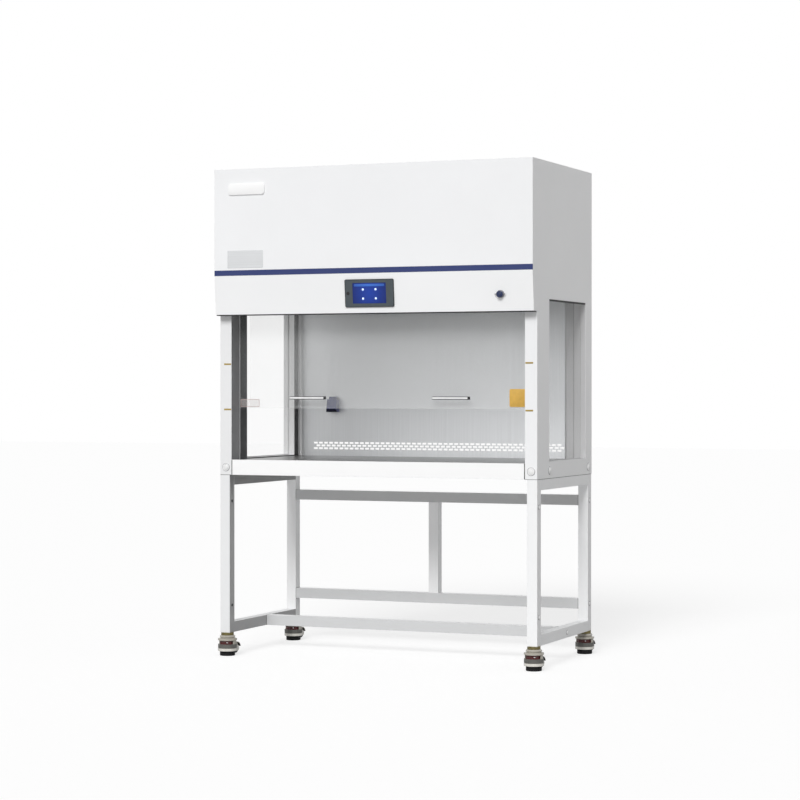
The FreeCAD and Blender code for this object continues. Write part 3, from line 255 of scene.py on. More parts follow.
@dataclass(frozen=True)
class PowderCoat:
    """A baked paint with a fine orange peel."""

    name: str
    colour: Colour
    roughness: float = 0.38
    peel: float = 0.00012
    tones: Span = (0.975, 1.01)
    gloss_spread: Span = (-0.04, 0.05)
    cloud_scale: float = 2.3
    gloss_scale: float = 40.0
    peel_scale: float = 420.0
    peel_strength: float = 0.5
    edge: float = 0.0012

    def material(self) -> bpy.types.Material:
        """Builds the finish.

        Returns:
            The material.
        """
        graph = Graph(self.name)
        place = graph.place()
        graph.mottle(graph.noise(place, self.cloud_scale), self.colour, self.tones)
        graph.roughen(graph.noise(place, self.gloss_scale), self.roughness, self.gloss_spread)
        graph.relief(graph.noise(place, self.peel_scale, detail=3.0), self.peel, self.peel_strength,
                     self.edge)
        return graph.material


@dataclass(frozen=True)
class BrushedSteel:
    """Stainless or plated sheet with a brushed grain, lighter by a factor between two places along X as painted
    light.
    """

    name: str
    colour: Colour
    grain: Grain
    roughness: float = 0.42
    # The start, the end and the factor of the painted light along X.
    lift: Point = (0.0, 0.0, 1.0)
    tones: Span = (0.93, 1.05)
    gloss_spread: Span = (-0.07, 0.08)
    stroke_depth: float = 0.00004
    stroke_strength: float = 0.6
    edge: float = 0.0008

    def material(self) -> bpy.types.Material:
        """Builds the finish.

        Returns:
            The material.
        """
        graph = Graph(self.name)
        graph.values(Metallic=1.0)
        strokes = graph.noise(graph.place(self.grain.value), 1.0, detail=3.0)
        graph.mottle(strokes, self.colour, self.tones)
        # Paints light on: the colour grows lighter along X.
        start, end, factor = self.lift
        if end > start:
            graph.brighten((start, end), factor)
        graph.roughen(strokes, self.roughness, self.gloss_spread)
        graph.relief(strokes, self.stroke_depth, self.stroke_strength, self.edge)
        return graph.material


@dataclass(frozen=True)
class CastMetal:
    """Cast or turned metal, with a slightly uneven surface."""

    name: str
    colour: Colour
    roughness: float = 0.35
    unevenness: float = 0.0001
    metallic: float = 1.0
    tones: Span = (0.85, 1.1)
    gloss_spread: Span = (0.0, 0.12)
    grit_scale: float = 700.0
    grit_strength: float = 0.7
    edge: float = 0.0006

    def material(self) -> bpy.types.Material:
        """Builds the finish.

        Returns:
            The material.
        """
        graph = Graph(self.name)
        graph.values(Metallic=self.metallic)
        grit = graph.noise(graph.place(), self.grit_scale, detail=4.0)
        graph.mottle(grit, self.colour, self.tones)
        graph.roughen(grit, self.roughness, self.gloss_spread)
        graph.relief(grit, self.unevenness, self.grit_strength, self.edge)
        return graph.material


@dataclass(frozen=True)
class Moulded:
    """Injection-moulded plastic or rubber with a spark-eroded texture."""

    name: str
    colour: Colour
    gloss: Gloss = Gloss.SATIN
    texture: float = 0.00006
    shine: float = 0.5
    tones: Span = (0.93, 1.06)
    gloss_spread: Span = (-0.04, 0.06)
    cloud_scale: float = 60.0
    grit_scale: float = 1500.0
    grit_strength: float = 0.6
    edge: float = 0.0005

    def material(self) -> bpy.types.Material:
        """Builds the finish.

        Returns:
            The material.
        """
        roughness, coat = self.gloss.value
        graph = Graph(self.name)
        graph.values(Coat_Weight=coat, Specular_IOR_Level=self.shine)
        grit = graph.noise(graph.place(), self.grit_scale)
        graph.mottle(graph.noise(graph.place(), self.cloud_scale), self.colour, self.tones)
        graph.roughen(grit, roughness, self.gloss_spread)
        graph.relief(grit, self.texture, self.grit_strength, self.edge)
        return graph.material


@dataclass(frozen=True)
class ClearPane:
    """Clear glass, faintly tinted, with a trace of haze."""

    name: str
    tint: Colour
    body: float
    haze_scale: float = 6.0
    haze: Span = (0.02, 0.06)
    glass_ior: float = 1.5

    def material(self) -> bpy.types.Material:
        """Builds the finish.

        Returns:
            The material.
        """
        graph = Graph(self.name)
        graph.values(Alpha=self.body, Base_Color=self.tint, IOR=self.glass_ior)
        graph.roughen(graph.noise(graph.place(), self.haze_scale, detail=3.0), 0.0, self.haze)
        return graph.material


@dataclass(frozen=True)
class PleatedPaper:
    """Filter paper folded into fine pleats across the frame."""

    name: str
    colour: Colour
    pleat: float = 0.003
    tones: Span = (0.75, 1.0)
    roughness: float = 0.9
    bands_per_scale: float = 0.314
    unevenness: float = 0.4

    def material(self) -> bpy.types.Material:
        """Builds the finish.

        Returns:
            The material.
        """
        graph = Graph(self.name)
        graph.values(Roughness=self.roughness)
        wave = graph.nodes.new("ShaderNodeTexWave")
        wave.inputs["Scale"].default_value = self.bands_per_scale / self.pleat
        wave.inputs["Distortion"].default_value = self.unevenness
        graph.link(graph.place(), wave.inputs["Vector"])
        graph.mottle(wave.outputs["Fac"], self.colour, self.tones)
        graph.relief(wave.outputs["Fac"], self.pleat / 2)
        return graph.material


@dataclass(frozen=True)
class LitScreen:
    """A lit screen under a glossy face, brighter in the middle, with its picture elements faintly showing."""

    name: str
    low: Colour
    high: Colour
    power: float
    centre: Point = (0.0, -0.36, 1.394)
    reach: float = 0.085
    cells: float = 230.0
    dim: float = 0.6
    roughness: float = 0.12

    def material(self) -> bpy.types.Material:
        """Builds the finish.

        Returns:
            The material.
        """
        graph = Graph(self.name)
        graph.values(Roughness=self.roughness, Emission_Strength=self.power)
        checks = graph.nodes.new("ShaderNodeTexChecker")
        checks.inputs["Scale"].default_value = 1.0
        checks.inputs["Color1"].default_value = (*self.low, 1.0)
        checks.inputs["Color2"].default_value = (*self.high, 1.0)
        graph.link(graph.place((self.cells,) * 3), checks.inputs["Vector"])
        glow = graph.nodes.new("ShaderNodeTexGradient")
        glow.gradient_type = "SPHERICAL"
        graph.link(graph.place((1.0 / self.reach,) * 3, self.centre), glow.inputs["Vector"])
        blend = graph.nodes.new("ShaderNodeMix")
        blend.data_type = "RGBA"
        blend.inputs["A"].default_value = (*shade(self.low, self.dim), 1.0)
        graph.link(glow.outputs["Fac"], blend.inputs["Factor"])
        graph.link(checks.outputs["Color"], blend.inputs["B"])
        for socket in ("Base Color", "Emission Color"):
            graph.link(blend.outputs["Result"], graph.shader.inputs[socket])
        return graph.material


CABINET_PAINT = PowderCoat("cabinet_paint", (0.895, 0.90, 0.91))
# Painted shade: the side panels' paint is a darker copy of the cabinet's white, so that the sides and the left
# post look shaded.
SIDE_SHADE_PAINT = PowderCoat("side_shade_paint", (0.83, 0.833, 0.838))
STAND_PAINT = PowderCoat("stand_paint", (0.84, 0.845, 0.85))
# Painted light: a lighter copy of the white paint for the fascia and the right stand frame's fronts, which are
# lit brighter.
LIT_FRONT_PAINT = PowderCoat("lit_front_paint", (0.92, 0.925, 0.93))
LIT_PAINT = PowderCoat("lit_paint", (0.97, 0.972, 0.975))
# Painted shadow: a darker copy of the stand paint for the upper rear beam, in the cabinet's shadow.
BEAM_SHADOW_PAINT = PowderCoat("beam_shadow_paint", (0.60, 0.603, 0.607))
# Painted shade: a darker copy of the stand paint for the low beams' fronts.
CROSS_SHADE_PAINT = PowderCoat("cross_shade_paint", (0.665, 0.67, 0.675))
# Painted shade: a dark copy of the stand paint for the side frames' inner faces.
INNER_SHADE_PAINT = PowderCoat("inner_shade_paint", (0.40, 0.40, 0.405))
# Painted shade: a darker copy for the top rails' inner faces under the cabinet's lip.
RAIL_SHADE_PAINT = PowderCoat("rail_shade_paint", (0.22, 0.22, 0.222))
STRIPE_PAINT = PowderCoat("stripe_paint", (0.021, 0.037, 0.150), roughness=0.40)
LIP_PAINT = PowderCoat("lip_paint", (0.98, 0.98, 0.98))
# Painted light and shade: a lit copy of the white paint for the left window's reveal, and a shaded copy for the
# right one's.
LIT_JAMB_PAINT = PowderCoat("lit_jamb_paint", (0.98, 0.98, 0.985))
SHADED_JAMB = PowderCoat("shaded_jamb", (0.66, 0.66, 0.665))
# Partly painted shade: the bare steel inside the tubes, darkened to near black as the shade in their holes.
TUBE_INSIDE_SHADE = PowderCoat("tube_inside_shade", (0.03, 0.03, 0.03), roughness=0.7)
# Painted light: the back wall's steel grows lighter from left to right.
WALL_STEEL = BrushedSteel("wall_steel", (0.63, 0.64, 0.65), Grain.ALONG_Z, lift=(-0.55, 0.50, 1.42))
# Painted shade: a near-black copy of the steel for the side liners, which stand in shade.
LINER_SHADE_STEEL = BrushedSteel("liner_shade_steel", (0.09, 0.09, 0.092), Grain.ALONG_Z)
# Painted shade: a dark copy of the steel for the posts' inner cheeks.
CHEEK_SHADE_STEEL = BrushedSteel("cheek_shade_steel", (0.32, 0.32, 0.323), Grain.ALONG_Z)
DUCT_STEEL = BrushedSteel("duct_steel", (0.60, 0.60, 0.605), Grain.ALONG_Z)
# Painted shade: a darker copy of the wall's steel for the rear corner.
COVE_SHADE_STEEL = BrushedSteel("cove_shade_steel", (0.50, 0.50, 0.505), Grain.ALONG_Z)
TOP_STEEL = BrushedSteel("top_steel", (0.235, 0.235, 0.235), Grain.ALONG_X, roughness=0.34)
ZINC = BrushedSteel("zinc_sheet", (0.56, 0.57, 0.58), Grain.ALONG_Z, roughness=0.5)
SHAFT_STEEL = CastMetal("shaft_steel", (0.55, 0.55, 0.56), roughness=0.28, unevenness=0.00002)
ANODISED = CastMetal("anodised", (0.74, 0.75, 0.76), roughness=0.4, unevenness=0.00002)
DARK_BRASS = CastMetal("dark_brass", (0.20, 0.17, 0.08), roughness=0.4, unevenness=0.00003)
IRON = CastMetal("cast_iron", (0.09, 0.09, 0.09), roughness=0.6, metallic=0.4)
BLACK_PAINT = PowderCoat("black_paint", (0.03, 0.03, 0.032), roughness=0.45)
WHITE_PLASTIC = Moulded("white_plastic", (0.86, 0.86, 0.86), Gloss.SATIN)
BLACK_PLASTIC = Moulded("black_plastic", (0.016, 0.016, 0.017), Gloss.MATT)
BEZEL_PLASTIC = Moulded("bezel_plastic", (0.064, 0.079, 0.088), Gloss.SATIN)
GASKET_RUBBER = Moulded("gasket_rubber", (0.02, 0.02, 0.021), Gloss.MATT)
PAD_RUBBER = Moulded("pad_rubber", (0.007, 0.007, 0.008), Gloss.MATT, texture=0.0002, shine=0.2)
KNOB_BLUE = Moulded("knob_blue", (0.013, 0.026, 0.095), Gloss.GLOSSY)
RING_METAL = CastMetal("ring_metal", (0.36, 0.36, 0.38), roughness=0.3, unevenness=0.00001)
SOCKET_BLUE = Moulded("socket_blue", (0.034, 0.046, 0.180), Gloss.SATIN)
SOCKET_LIP = Moulded("socket_lip", (0.003, 0.004, 0.018), Gloss.MATT, shine=0.2)
IVORY = Moulded("caster_ivory", (0.44, 0.415, 0.36), Gloss.GLOSSY)
# Painted highlight: a lighter copy of the hood's ivory for its lower rim.
CASTER_RIM_HIGHLIGHT = Moulded("caster_rim_highlight", (0.72, 0.70, 0.65), Gloss.GLOSSY)
CASTER_GREY = Moulded("caster_grey", (0.11, 0.108, 0.10), Gloss.SATIN)
CASTER_DARK = Moulded("caster_dark", (0.055, 0.056, 0.058), Gloss.SATIN)
DIAL_RED = Moulded("dial_red", (0.075, 0.009, 0.010), Gloss.SATIN)
MARK_ORANGE = Moulded("mark_orange", (0.38, 0.27, 0.06), Gloss.SATIN)
AMBER_FILM = Moulded("amber_film", (0.70, 0.42, 0.08), Gloss.SATIN)
PINK_FILM = Moulded("pink_film", (0.50, 0.38, 0.36), Gloss.SATIN)
BOLT_WHITE = Moulded("bolt_white", (0.86, 0.86, 0.86), Gloss.SATIN)
WASHER_GREY = CastMetal("washer_grey", (0.30, 0.30, 0.31), roughness=0.45)
PLAQUE_WHITE = PowderCoat("plaque_white", (0.96, 0.96, 0.96), roughness=0.35, peel=0.00001)
BEAD_GREY = Moulded("bead_grey", (0.66, 0.66, 0.66), Gloss.MATT)
SEAM_GREY = Moulded("seam_grey", (0.12, 0.12, 0.12), Gloss.MATT)
PLATE_SILVER = BrushedSteel("plate_silver", (0.66, 0.67, 0.68), Grain.ALONG_X, roughness=0.5)
PANE = ClearPane("pane_glass", (0.96, 0.98, 0.98), 0.03)
SAFETY_FILM = ClearPane("safety_film", (0.96, 0.97, 0.97), 0.095)
SIDE_PANE = ClearPane("side_pane_glass", (0.94, 0.96, 0.96), 0.03)
CLEAR_FILM = ClearPane("clear_film", (0.80, 0.74, 0.72), 0.16)
LAMP_GLASS = ClearPane("lamp_glass", (0.75, 0.80, 0.90), 0.45)
FILTER_PAPER = PleatedPaper("filter_paper", (0.88, 0.88, 0.86))
SCREEN = LitScreen("screen_blue", (0.003, 0.014, 0.12), (0.010, 0.045, 0.31), 0.8)
SCREEN_BAR = LitScreen("screen_bar", (0.02, 0.08, 0.34), (0.04, 0.14, 0.50), 0.8)
SCREEN_ICON = LitScreen("screen_icon", (0.60, 0.75, 1.0), (0.60, 0.75, 1.0), 1.0, reach=0.3)

Finish = PowderCoat | BrushedSteel | CastMetal | Moulded | ClearPane | PleatedPaper | LitScreen
made: dict[str, bpy.types.Material] = {}


def material_of(finish: Finish) -> bpy.types.Material:
    """Gives a finish's material, built once.

    Args:
        finish: The finish.

    Returns:
        Its material.
    """
    if finish.name not in made:
        made[finish.name] = finish.material()
    return made[finish.name]


def dress_nodes(finish: Finish, *names: str) -> None:
    """Gives CAD nodes a finish.

    Args:
        finish: The finish.
        names: The nodes' names.
    """
    for name in names:
        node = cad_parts[name]
        node.data.materials.clear()
        node.data.materials.append(material_of(finish))
        log.info("node %s is dressed in %s", name, finish.name)


def dress_faces(node: str, finish: Finish, where: Test) -> None:
    """Gives some faces of a CAD node a finish of their own.

    Args:
        node: The node's name.
        finish: The finish.
        where: Takes a face's middle and normal.
    """
    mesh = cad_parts[node].data
    mesh.materials.append(material_of(finish))
    chosen = [face for face in mesh.polygons if where(face.center, face.normal)]
    for face in chosen:
        face.material_index = len(mesh.materials) - 1
    log.info("node %s has %d faces in %s", node, len(chosen), finish.name)


def back(distance: float) -> float:
    """Gives the Y of a place behind the front cover, from its distance in metres."""
    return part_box("front_cover")[0].y + distance


def middle(node: str) -> Vector:
    """Gives the middle of a CAD node's box."""
    low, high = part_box(node)
    return (low + high) / 2


def everywhere(place: Vector, direction: Vector) -> bool:
    """Lets every face or edge pass."""
    return True


class Workpiece:
    """One piece of trim, shaped with the edit-mode operators."""

    def __init__(self, name: str) -> None:
        """Takes the primitive that was just added, with its place and size put into its mesh.

        Args:
            name: The piece's name.
        """
        self.obj = bpy.context.active_object
        self.obj.name = name
        self.obj.data.name = name
        bpy.ops.object.transform_apply(location=True, rotation=True, scale=True)

    @classmethod
    def block(cls, name: str, low: Point, high: Point) -> "Workpiece":
        """Starts from a block.

        Args:
            name: The piece's name.
            low: Its lowest corner.
            high: Its highest corner.

        Returns:
            The piece, ready to shape.
        """
        bpy.ops.object.select_all(action="DESELECT")
        low, high = Vector(low), Vector(high)
        bpy.ops.mesh.primitive_cube_add(size=1.0, location=(low + high) / 2, scale=high - low)
        return cls(name)

    @classmethod
    def round(cls, name: str, radius: float, length: float, base: Point, axis: Point,
              sides: int = 48) -> "Workpiece":
        """Starts from a round bar.

        Args:
            name: The piece's name.
            radius: Its radius.
            length: Its length along the axis.
            base: The middle of its first end.
            axis: The direction from that end to the other.
            sides: The number of its sides.

        Returns:
            The piece, ready to shape.
        """
        bpy.ops.object.select_all(action="DESELECT")
        along = Vector(axis).normalized()
        bpy.ops.mesh.primitive_cylinder_add(
            vertices=sides, radius=radius, depth=length, location=Vector(base) + along * length / 2,
            rotation=along.to_track_quat("Z", "Y").to_euler(),
        )
        return cls(name)

    def _take(self) -> None:
        """Selects this piece alone, as the active one."""
        bpy.ops.object.select_all(action="DESELECT")
        self.obj.select_set(True)
        bpy.context.view_layer.objects.active = self.obj

    def _edit(self, faces: Test | None, edges: Test | None) -> None:
        """Opens edit mode with only some faces or edges selected.

        Args:
            faces: The test that the faces pass, or None to select no faces.
            edges: The test that the edges pass, or None to select no edges.
        """
        mesh = self.obj.data
        for item in (*mesh.vertices, *mesh.edges, *mesh.polygons):
            item.select = False
        bpy.context.tool_settings.mesh_select_mode = (False, edges is not None, faces is not None)
        if faces is not None:
            for face in mesh.polygons:
                face.select = faces(face.center, face.normal)
        if edges is not None:
            for edge in mesh.edges:
                start, end = (mesh.vertices[index].co for index in edge.vertices)
                edge.select = edges((start + end) / 2, (end - start).normalized())
        bpy.ops.object.mode_set(mode="EDIT")

    def _close(self) -> "Workpiece":
        """Leaves edit mode."""
        bpy.ops.object.mode_set(mode="OBJECT")
        return self

    def round_edges(self, where: Test, width: float, steps: int = 4) -> "Workpiece":
        """Rounds the edges that pass a test.

        Args:
            where: Takes an edge's middle and direction.
            width: The rounding's radius.
            steps: The number of its facets.

        Returns:
            This piece.
        """
        self._edit(None, where)
        bpy.ops.mesh.bevel(offset=width, segments=steps, affect="EDGES")
        return self._close()

    def step(self, where: Test, inset: float, rise: Point) -> "Workpiece":
        """Insets the faces that pass a test, and extrudes what is left.

        Args:
            where: Takes a face's middle and normal.
            inset: How far the step lies inside the face's edge.
            rise: How far, and which way, it is extruded.

        Returns:
            This piece.
        """
        self._edit(where, None)
        bpy.ops.mesh.inset(thickness=inset)
        bpy.ops.mesh.extrude_region_move(TRANSFORM_OT_translate={"value": rise})
        return self._close()

    def taper(self, where: Test, rise: Point, scale: float) -> "Workpiece":
        """Extrudes a face and scales its end about its own middle.

        Args:
            where: Takes a face's middle and normal.
            rise: How far, and which way, it is extruded.
            scale: The end's size against the start's.

        Returns:
            This piece.
        """
        chosen = [face.center.copy() for face in self.obj.data.polygons if where(face.center, face.normal)]
        centre = sum(chosen, Vector()) / len(chosen) + Vector(rise)
        self._edit(where, None)
        bpy.ops.mesh.extrude_region_move(TRANSFORM_OT_translate={"value": rise})
        bpy.ops.transform.resize(value=(scale, scale, scale), center_override=centre)
        return self._close()

    def divide(self, cuts: int) -> "Workpiece":
        """Divides every edge evenly.

        Args:
            cuts: The number of cuts in each edge.

        Returns:
            This piece.
        """
        self._edit(everywhere, None)
        bpy.ops.mesh.subdivide(number_cuts=cuts)
        return self._close()

    def soften(self, width: float, steps: int = 2) -> "Workpiece":
        """Rounds every sharp edge with a bevel modifier, and applies it.

        Args:
            width: The rounding's width.
            steps: The number of its facets.

        Returns:
            This piece.
        """
        bevel = self.obj.modifiers.new("soft_edges", "BEVEL")
        bevel.width = width
        bevel.segments = steps
        bevel.limit_method = "ANGLE"
        self._take()
        bpy.ops.object.modifier_apply(modifier=bevel.name)
        return self

    def bore(self, cutter: "Workpiece") -> "Workpiece":
        """Cuts another piece's shape out of this one, and removes the cutter.

        Args:
            cutter: The other piece.

        Returns:
            This piece.
        """
        cut = self.obj.modifiers.new("bore", "BOOLEAN")
        cut.operation = "DIFFERENCE"
        cut.object = cutter.obj
        self._take()
        bpy.ops.object.modifier_apply(modifier=cut.name)
        bpy.data.objects.remove(cutter.obj)
        return self

    def turn(self, about: Point, angles: Point) -> "Workpiece":
        """Turns the piece about a place.

        Args:
            about: The place that stays.
            angles: The turns about X, Y and Z.

        Returns:
            This piece.
        """
        self._take()
        self.obj.location = -Vector(about)
        bpy.ops.object.transform_apply(location=True)
        self.obj.rotation_euler = angles
        bpy.ops.object.transform_apply(rotation=True)
        self.obj.location = Vector(about)
        bpy.ops.object.transform_apply(location=True)
        return self

    def sweep(self, where: Test, about: Point, axis: Point, angle: float, steps: int) -> "Workpiece":
        """Spins the face that passes a test round an axis, and closes the body again.

        Args:
            where: Takes a face's middle and normal.
            about: A place on the axis.
            axis: The axis.
            angle: How far the face goes.
            steps: The number of facets on the way.

        Returns:
            This piece.
        """
        self._edit(where, None)
        bpy.ops.mesh.spin(steps=steps, angle=angle, center=about, axis=axis)
        bpy.ops.mesh.select_all(action="SELECT")
        bpy.ops.mesh.remove_doubles(threshold=NEAR)
        bpy.ops.mesh.normals_make_consistent(inside=False)
        return self._close()

    def copy(self, name: str, shift: Point = (0.0, 0.0, 0.0), mirror: bool = False) -> "Workpiece":
        """Copies this piece with a mesh of its own.

        Args:
            name: The copy's name.
            shift: How far it is moved.
            mirror: Whether it is mirrored to the cabinet's other side first.

        Returns:
            The copy.
        """
        self._take()
        bpy.ops.object.duplicate(linked=False)
        twin = bpy.context.active_object
        twin.location = shift
        twin.scale = (-1.0 if mirror else 1.0, 1.0, 1.0)
        copied = Workpiece(name)
        if mirror:
            copied._edit(everywhere, None)
            bpy.ops.mesh.normals_make_consistent(inside=False)
            copied._close()
        return copied

    def join(self, *others: "Workpiece") -> "Workpiece":
        """Joins other pieces to this one, as one object.

        Args:
            others: The other pieces.

        Returns:
            This piece.
        """
        self._take()
        for other in others:
            other.obj.select_set(True)
        bpy.ops.object.join()
        return self

    def finish(self, finish: Finish, body: str, slot: str, replaces: tuple[str, ...] = ()) -> None:
        """Dresses the piece and hangs it on its body.

        Args:
            finish: The finish that it gets.
            body: The body that it rides on.
            slot: The record's material slot of its finish; not used.
            replaces: The CAD nodes that it stands for.
        """
        self._take()
        bpy.ops.object.shade_smooth_by_angle(angle=math.radians(SMOOTH_DEG))
        self.obj.data.materials.clear()
        self.obj.data.materials.append(material_of(finish))
        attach(self.obj, body)
        if replaces:
            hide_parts(*replaces)
        log.info("piece %s rides on %s in %s", self.obj.name, body, finish.name)


def finish_pair(piece: Workpiece, finish: Finish, slot: str) -> None:
    """Mirrors a right-hand piece to the left, and fixes both to the cabinet.

    Args:
        piece: The piece, with the word right in its name.
        finish: The finish that both get.
        slot: The record's material slot of it.
    """
    twin = piece.copy(piece.obj.name.replace("right", "left"), mirror=True)
    for side in (twin, piece):
        side.finish(finish, "cabinet", slot)


def faces_front(centre: Vector, normal: Vector) -> bool:
    """Tells whether a face looks towards the user."""
    return normal.y < -ALONG


def runs_back(centre: Vector, along: Vector) -> bool:
    """Tells whether an edge runs from front to back."""
    return abs(along.y) > ALONG


def runs_across(centre: Vector, along: Vector) -> bool:
    """Tells whether an edge runs from left to right."""
    return abs(along.x) > ALONG


def is_front(face: float) -> Test:
    """Makes a test for the edges that lie in a plane facing the user, at that Y."""
    return lambda centre, along: abs(centre.y - face) < NEAR


def end_disc(centre: Vector, out: Vector, radius: float) -> Test:
    """Makes a test for the disc in the middle of a round piece's end.

    Args:
        centre: A place on the piece's axis.
        out: The direction in which the end looks.
        radius: The piece's radius.

    Returns:
        The test.
    """
    def is_disc(place: Vector, normal: Vector) -> bool:
        """Tells whether a face looks that way and lies about the axis."""
        offset = place - centre
        return normal.dot(out) > EXACTLY and (offset - out * offset.dot(out)).length < radius / 10

    return is_disc


def front_plate(name: str, low: Point, high: Point, corner: float, edge: float) -> Workpiece:
    """Models a flat plate with rounded corners and a soft front edge.

    Args:
        name: The plate's name.
        low: Its lowest corner.
        high: Its highest corner.
        corner: The radius of its corners.
        edge: The width of its front edge's rounding.

    Returns:
        The plate, ready to dress.
    """
    plate = Workpiece.block(name, low, high)
    plate.round_edges(runs_back, corner, steps=6)
    return plate.round_edges(is_front(low[1]), edge, steps=2)


@dataclass
class UpperFront:
    """The cover over the fan housing, its stripe, and the two bare plates on it."""

    plaque_place: Span = (-0.512, 1.8005)
    plaque_size: Span = (0.154, 0.0445)
    plaque_thick: float = 0.0055
    plaque_corner: float = 0.011
    rating_place: Span = (-0.5176, 1.532)
    rating_size: Span = (0.1516, 0.067)
    rating_thick: float = 0.0008
    rating_corner: float = 0.002
    seat: float = 0.0002
    # The black strip under the fascia is painted shadow for the fascia's shaded underside.
    shadow_strip_span: Span = (0.0145, 0.046)
    shadow_strip_height: float = 0.0035
    shadow_strip_inset: float = 0.002
    shadow_strip_round: float = 0.0012

    def dress(self) -> None:
        """Paints the sheets, the fascia in a lighter copy of the paint as painted light."""
        dress_nodes(CABINET_PAINT, "front_cover", "top_panel")
        dress_nodes(LIT_FRONT_PAINT, "fascia")
        dress_nodes(STRIPE_PAINT, "accent_stripe")

    def build(self) -> None:
        """Models the two bare plates on the cover's face, and the black strip under the fascia, a painted
        shadow.
        """
        plaque = self._plate("bare_plaque", self.plaque_place, self.plaque_size, self.plaque_thick,
                             self.plaque_corner)
        plaque.finish(PLAQUE_WHITE, "cabinet", "white_plastic")
        rating = self._plate("bare_rating_plate", self.rating_place, self.rating_size, self.rating_thick,
                             self.rating_corner)
        rating.step(lambda centre, normal: normal.y < -EXACTLY, self.rating_corner / 3,
                    (0.0, self.rating_thick / 4, 0.0))
        rating.finish(PLATE_SILVER, "cabinet", "aluminium")
        self._shadow_strip()

    def _plate(self, name: str, place: Span, size: Span, thick: float, corner: float) -> Workpiece:
        """Models one plate on the cover's face.

        Args:
            name: The plate's name.
            place: The X and Z of its middle.
            size: Its width and height.
            thick: Its thickness.
            corner: The radius of its corners.

        Returns:
            The plate, ready to dress.
        """
        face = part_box("front_cover")[0].y - self.seat
        x, z = place
        wide, high = size[0] / 2, size[1] / 2
        return front_plate(name, (x - wide, face - thick, z - high), (x + wide, face, z + high), corner,
                           thick / 3)

    def _shadow_strip(self) -> None:
        """Models the black strip under the fascia's lower edge: painted shadow for the fascia's shaded
        underside and the gap behind it.
        """
        low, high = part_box("fascia")
        under = low.z - self.shadow_strip_height
        front, rear = (back(distance) for distance in self.shadow_strip_span)
        strip = Workpiece.block("fascia_strip", (low.x + self.shadow_strip_inset, front, under),
                                (high.x - self.shadow_strip_inset, rear, low.z))
        strip.round_edges(lambda centre, along: abs(centre.z - under) < NEAR and runs_across(centre, along),
                          self.shadow_strip_round, steps=3)
        strip.finish(GASKET_RUBBER, "cabinet", "black_plastic")


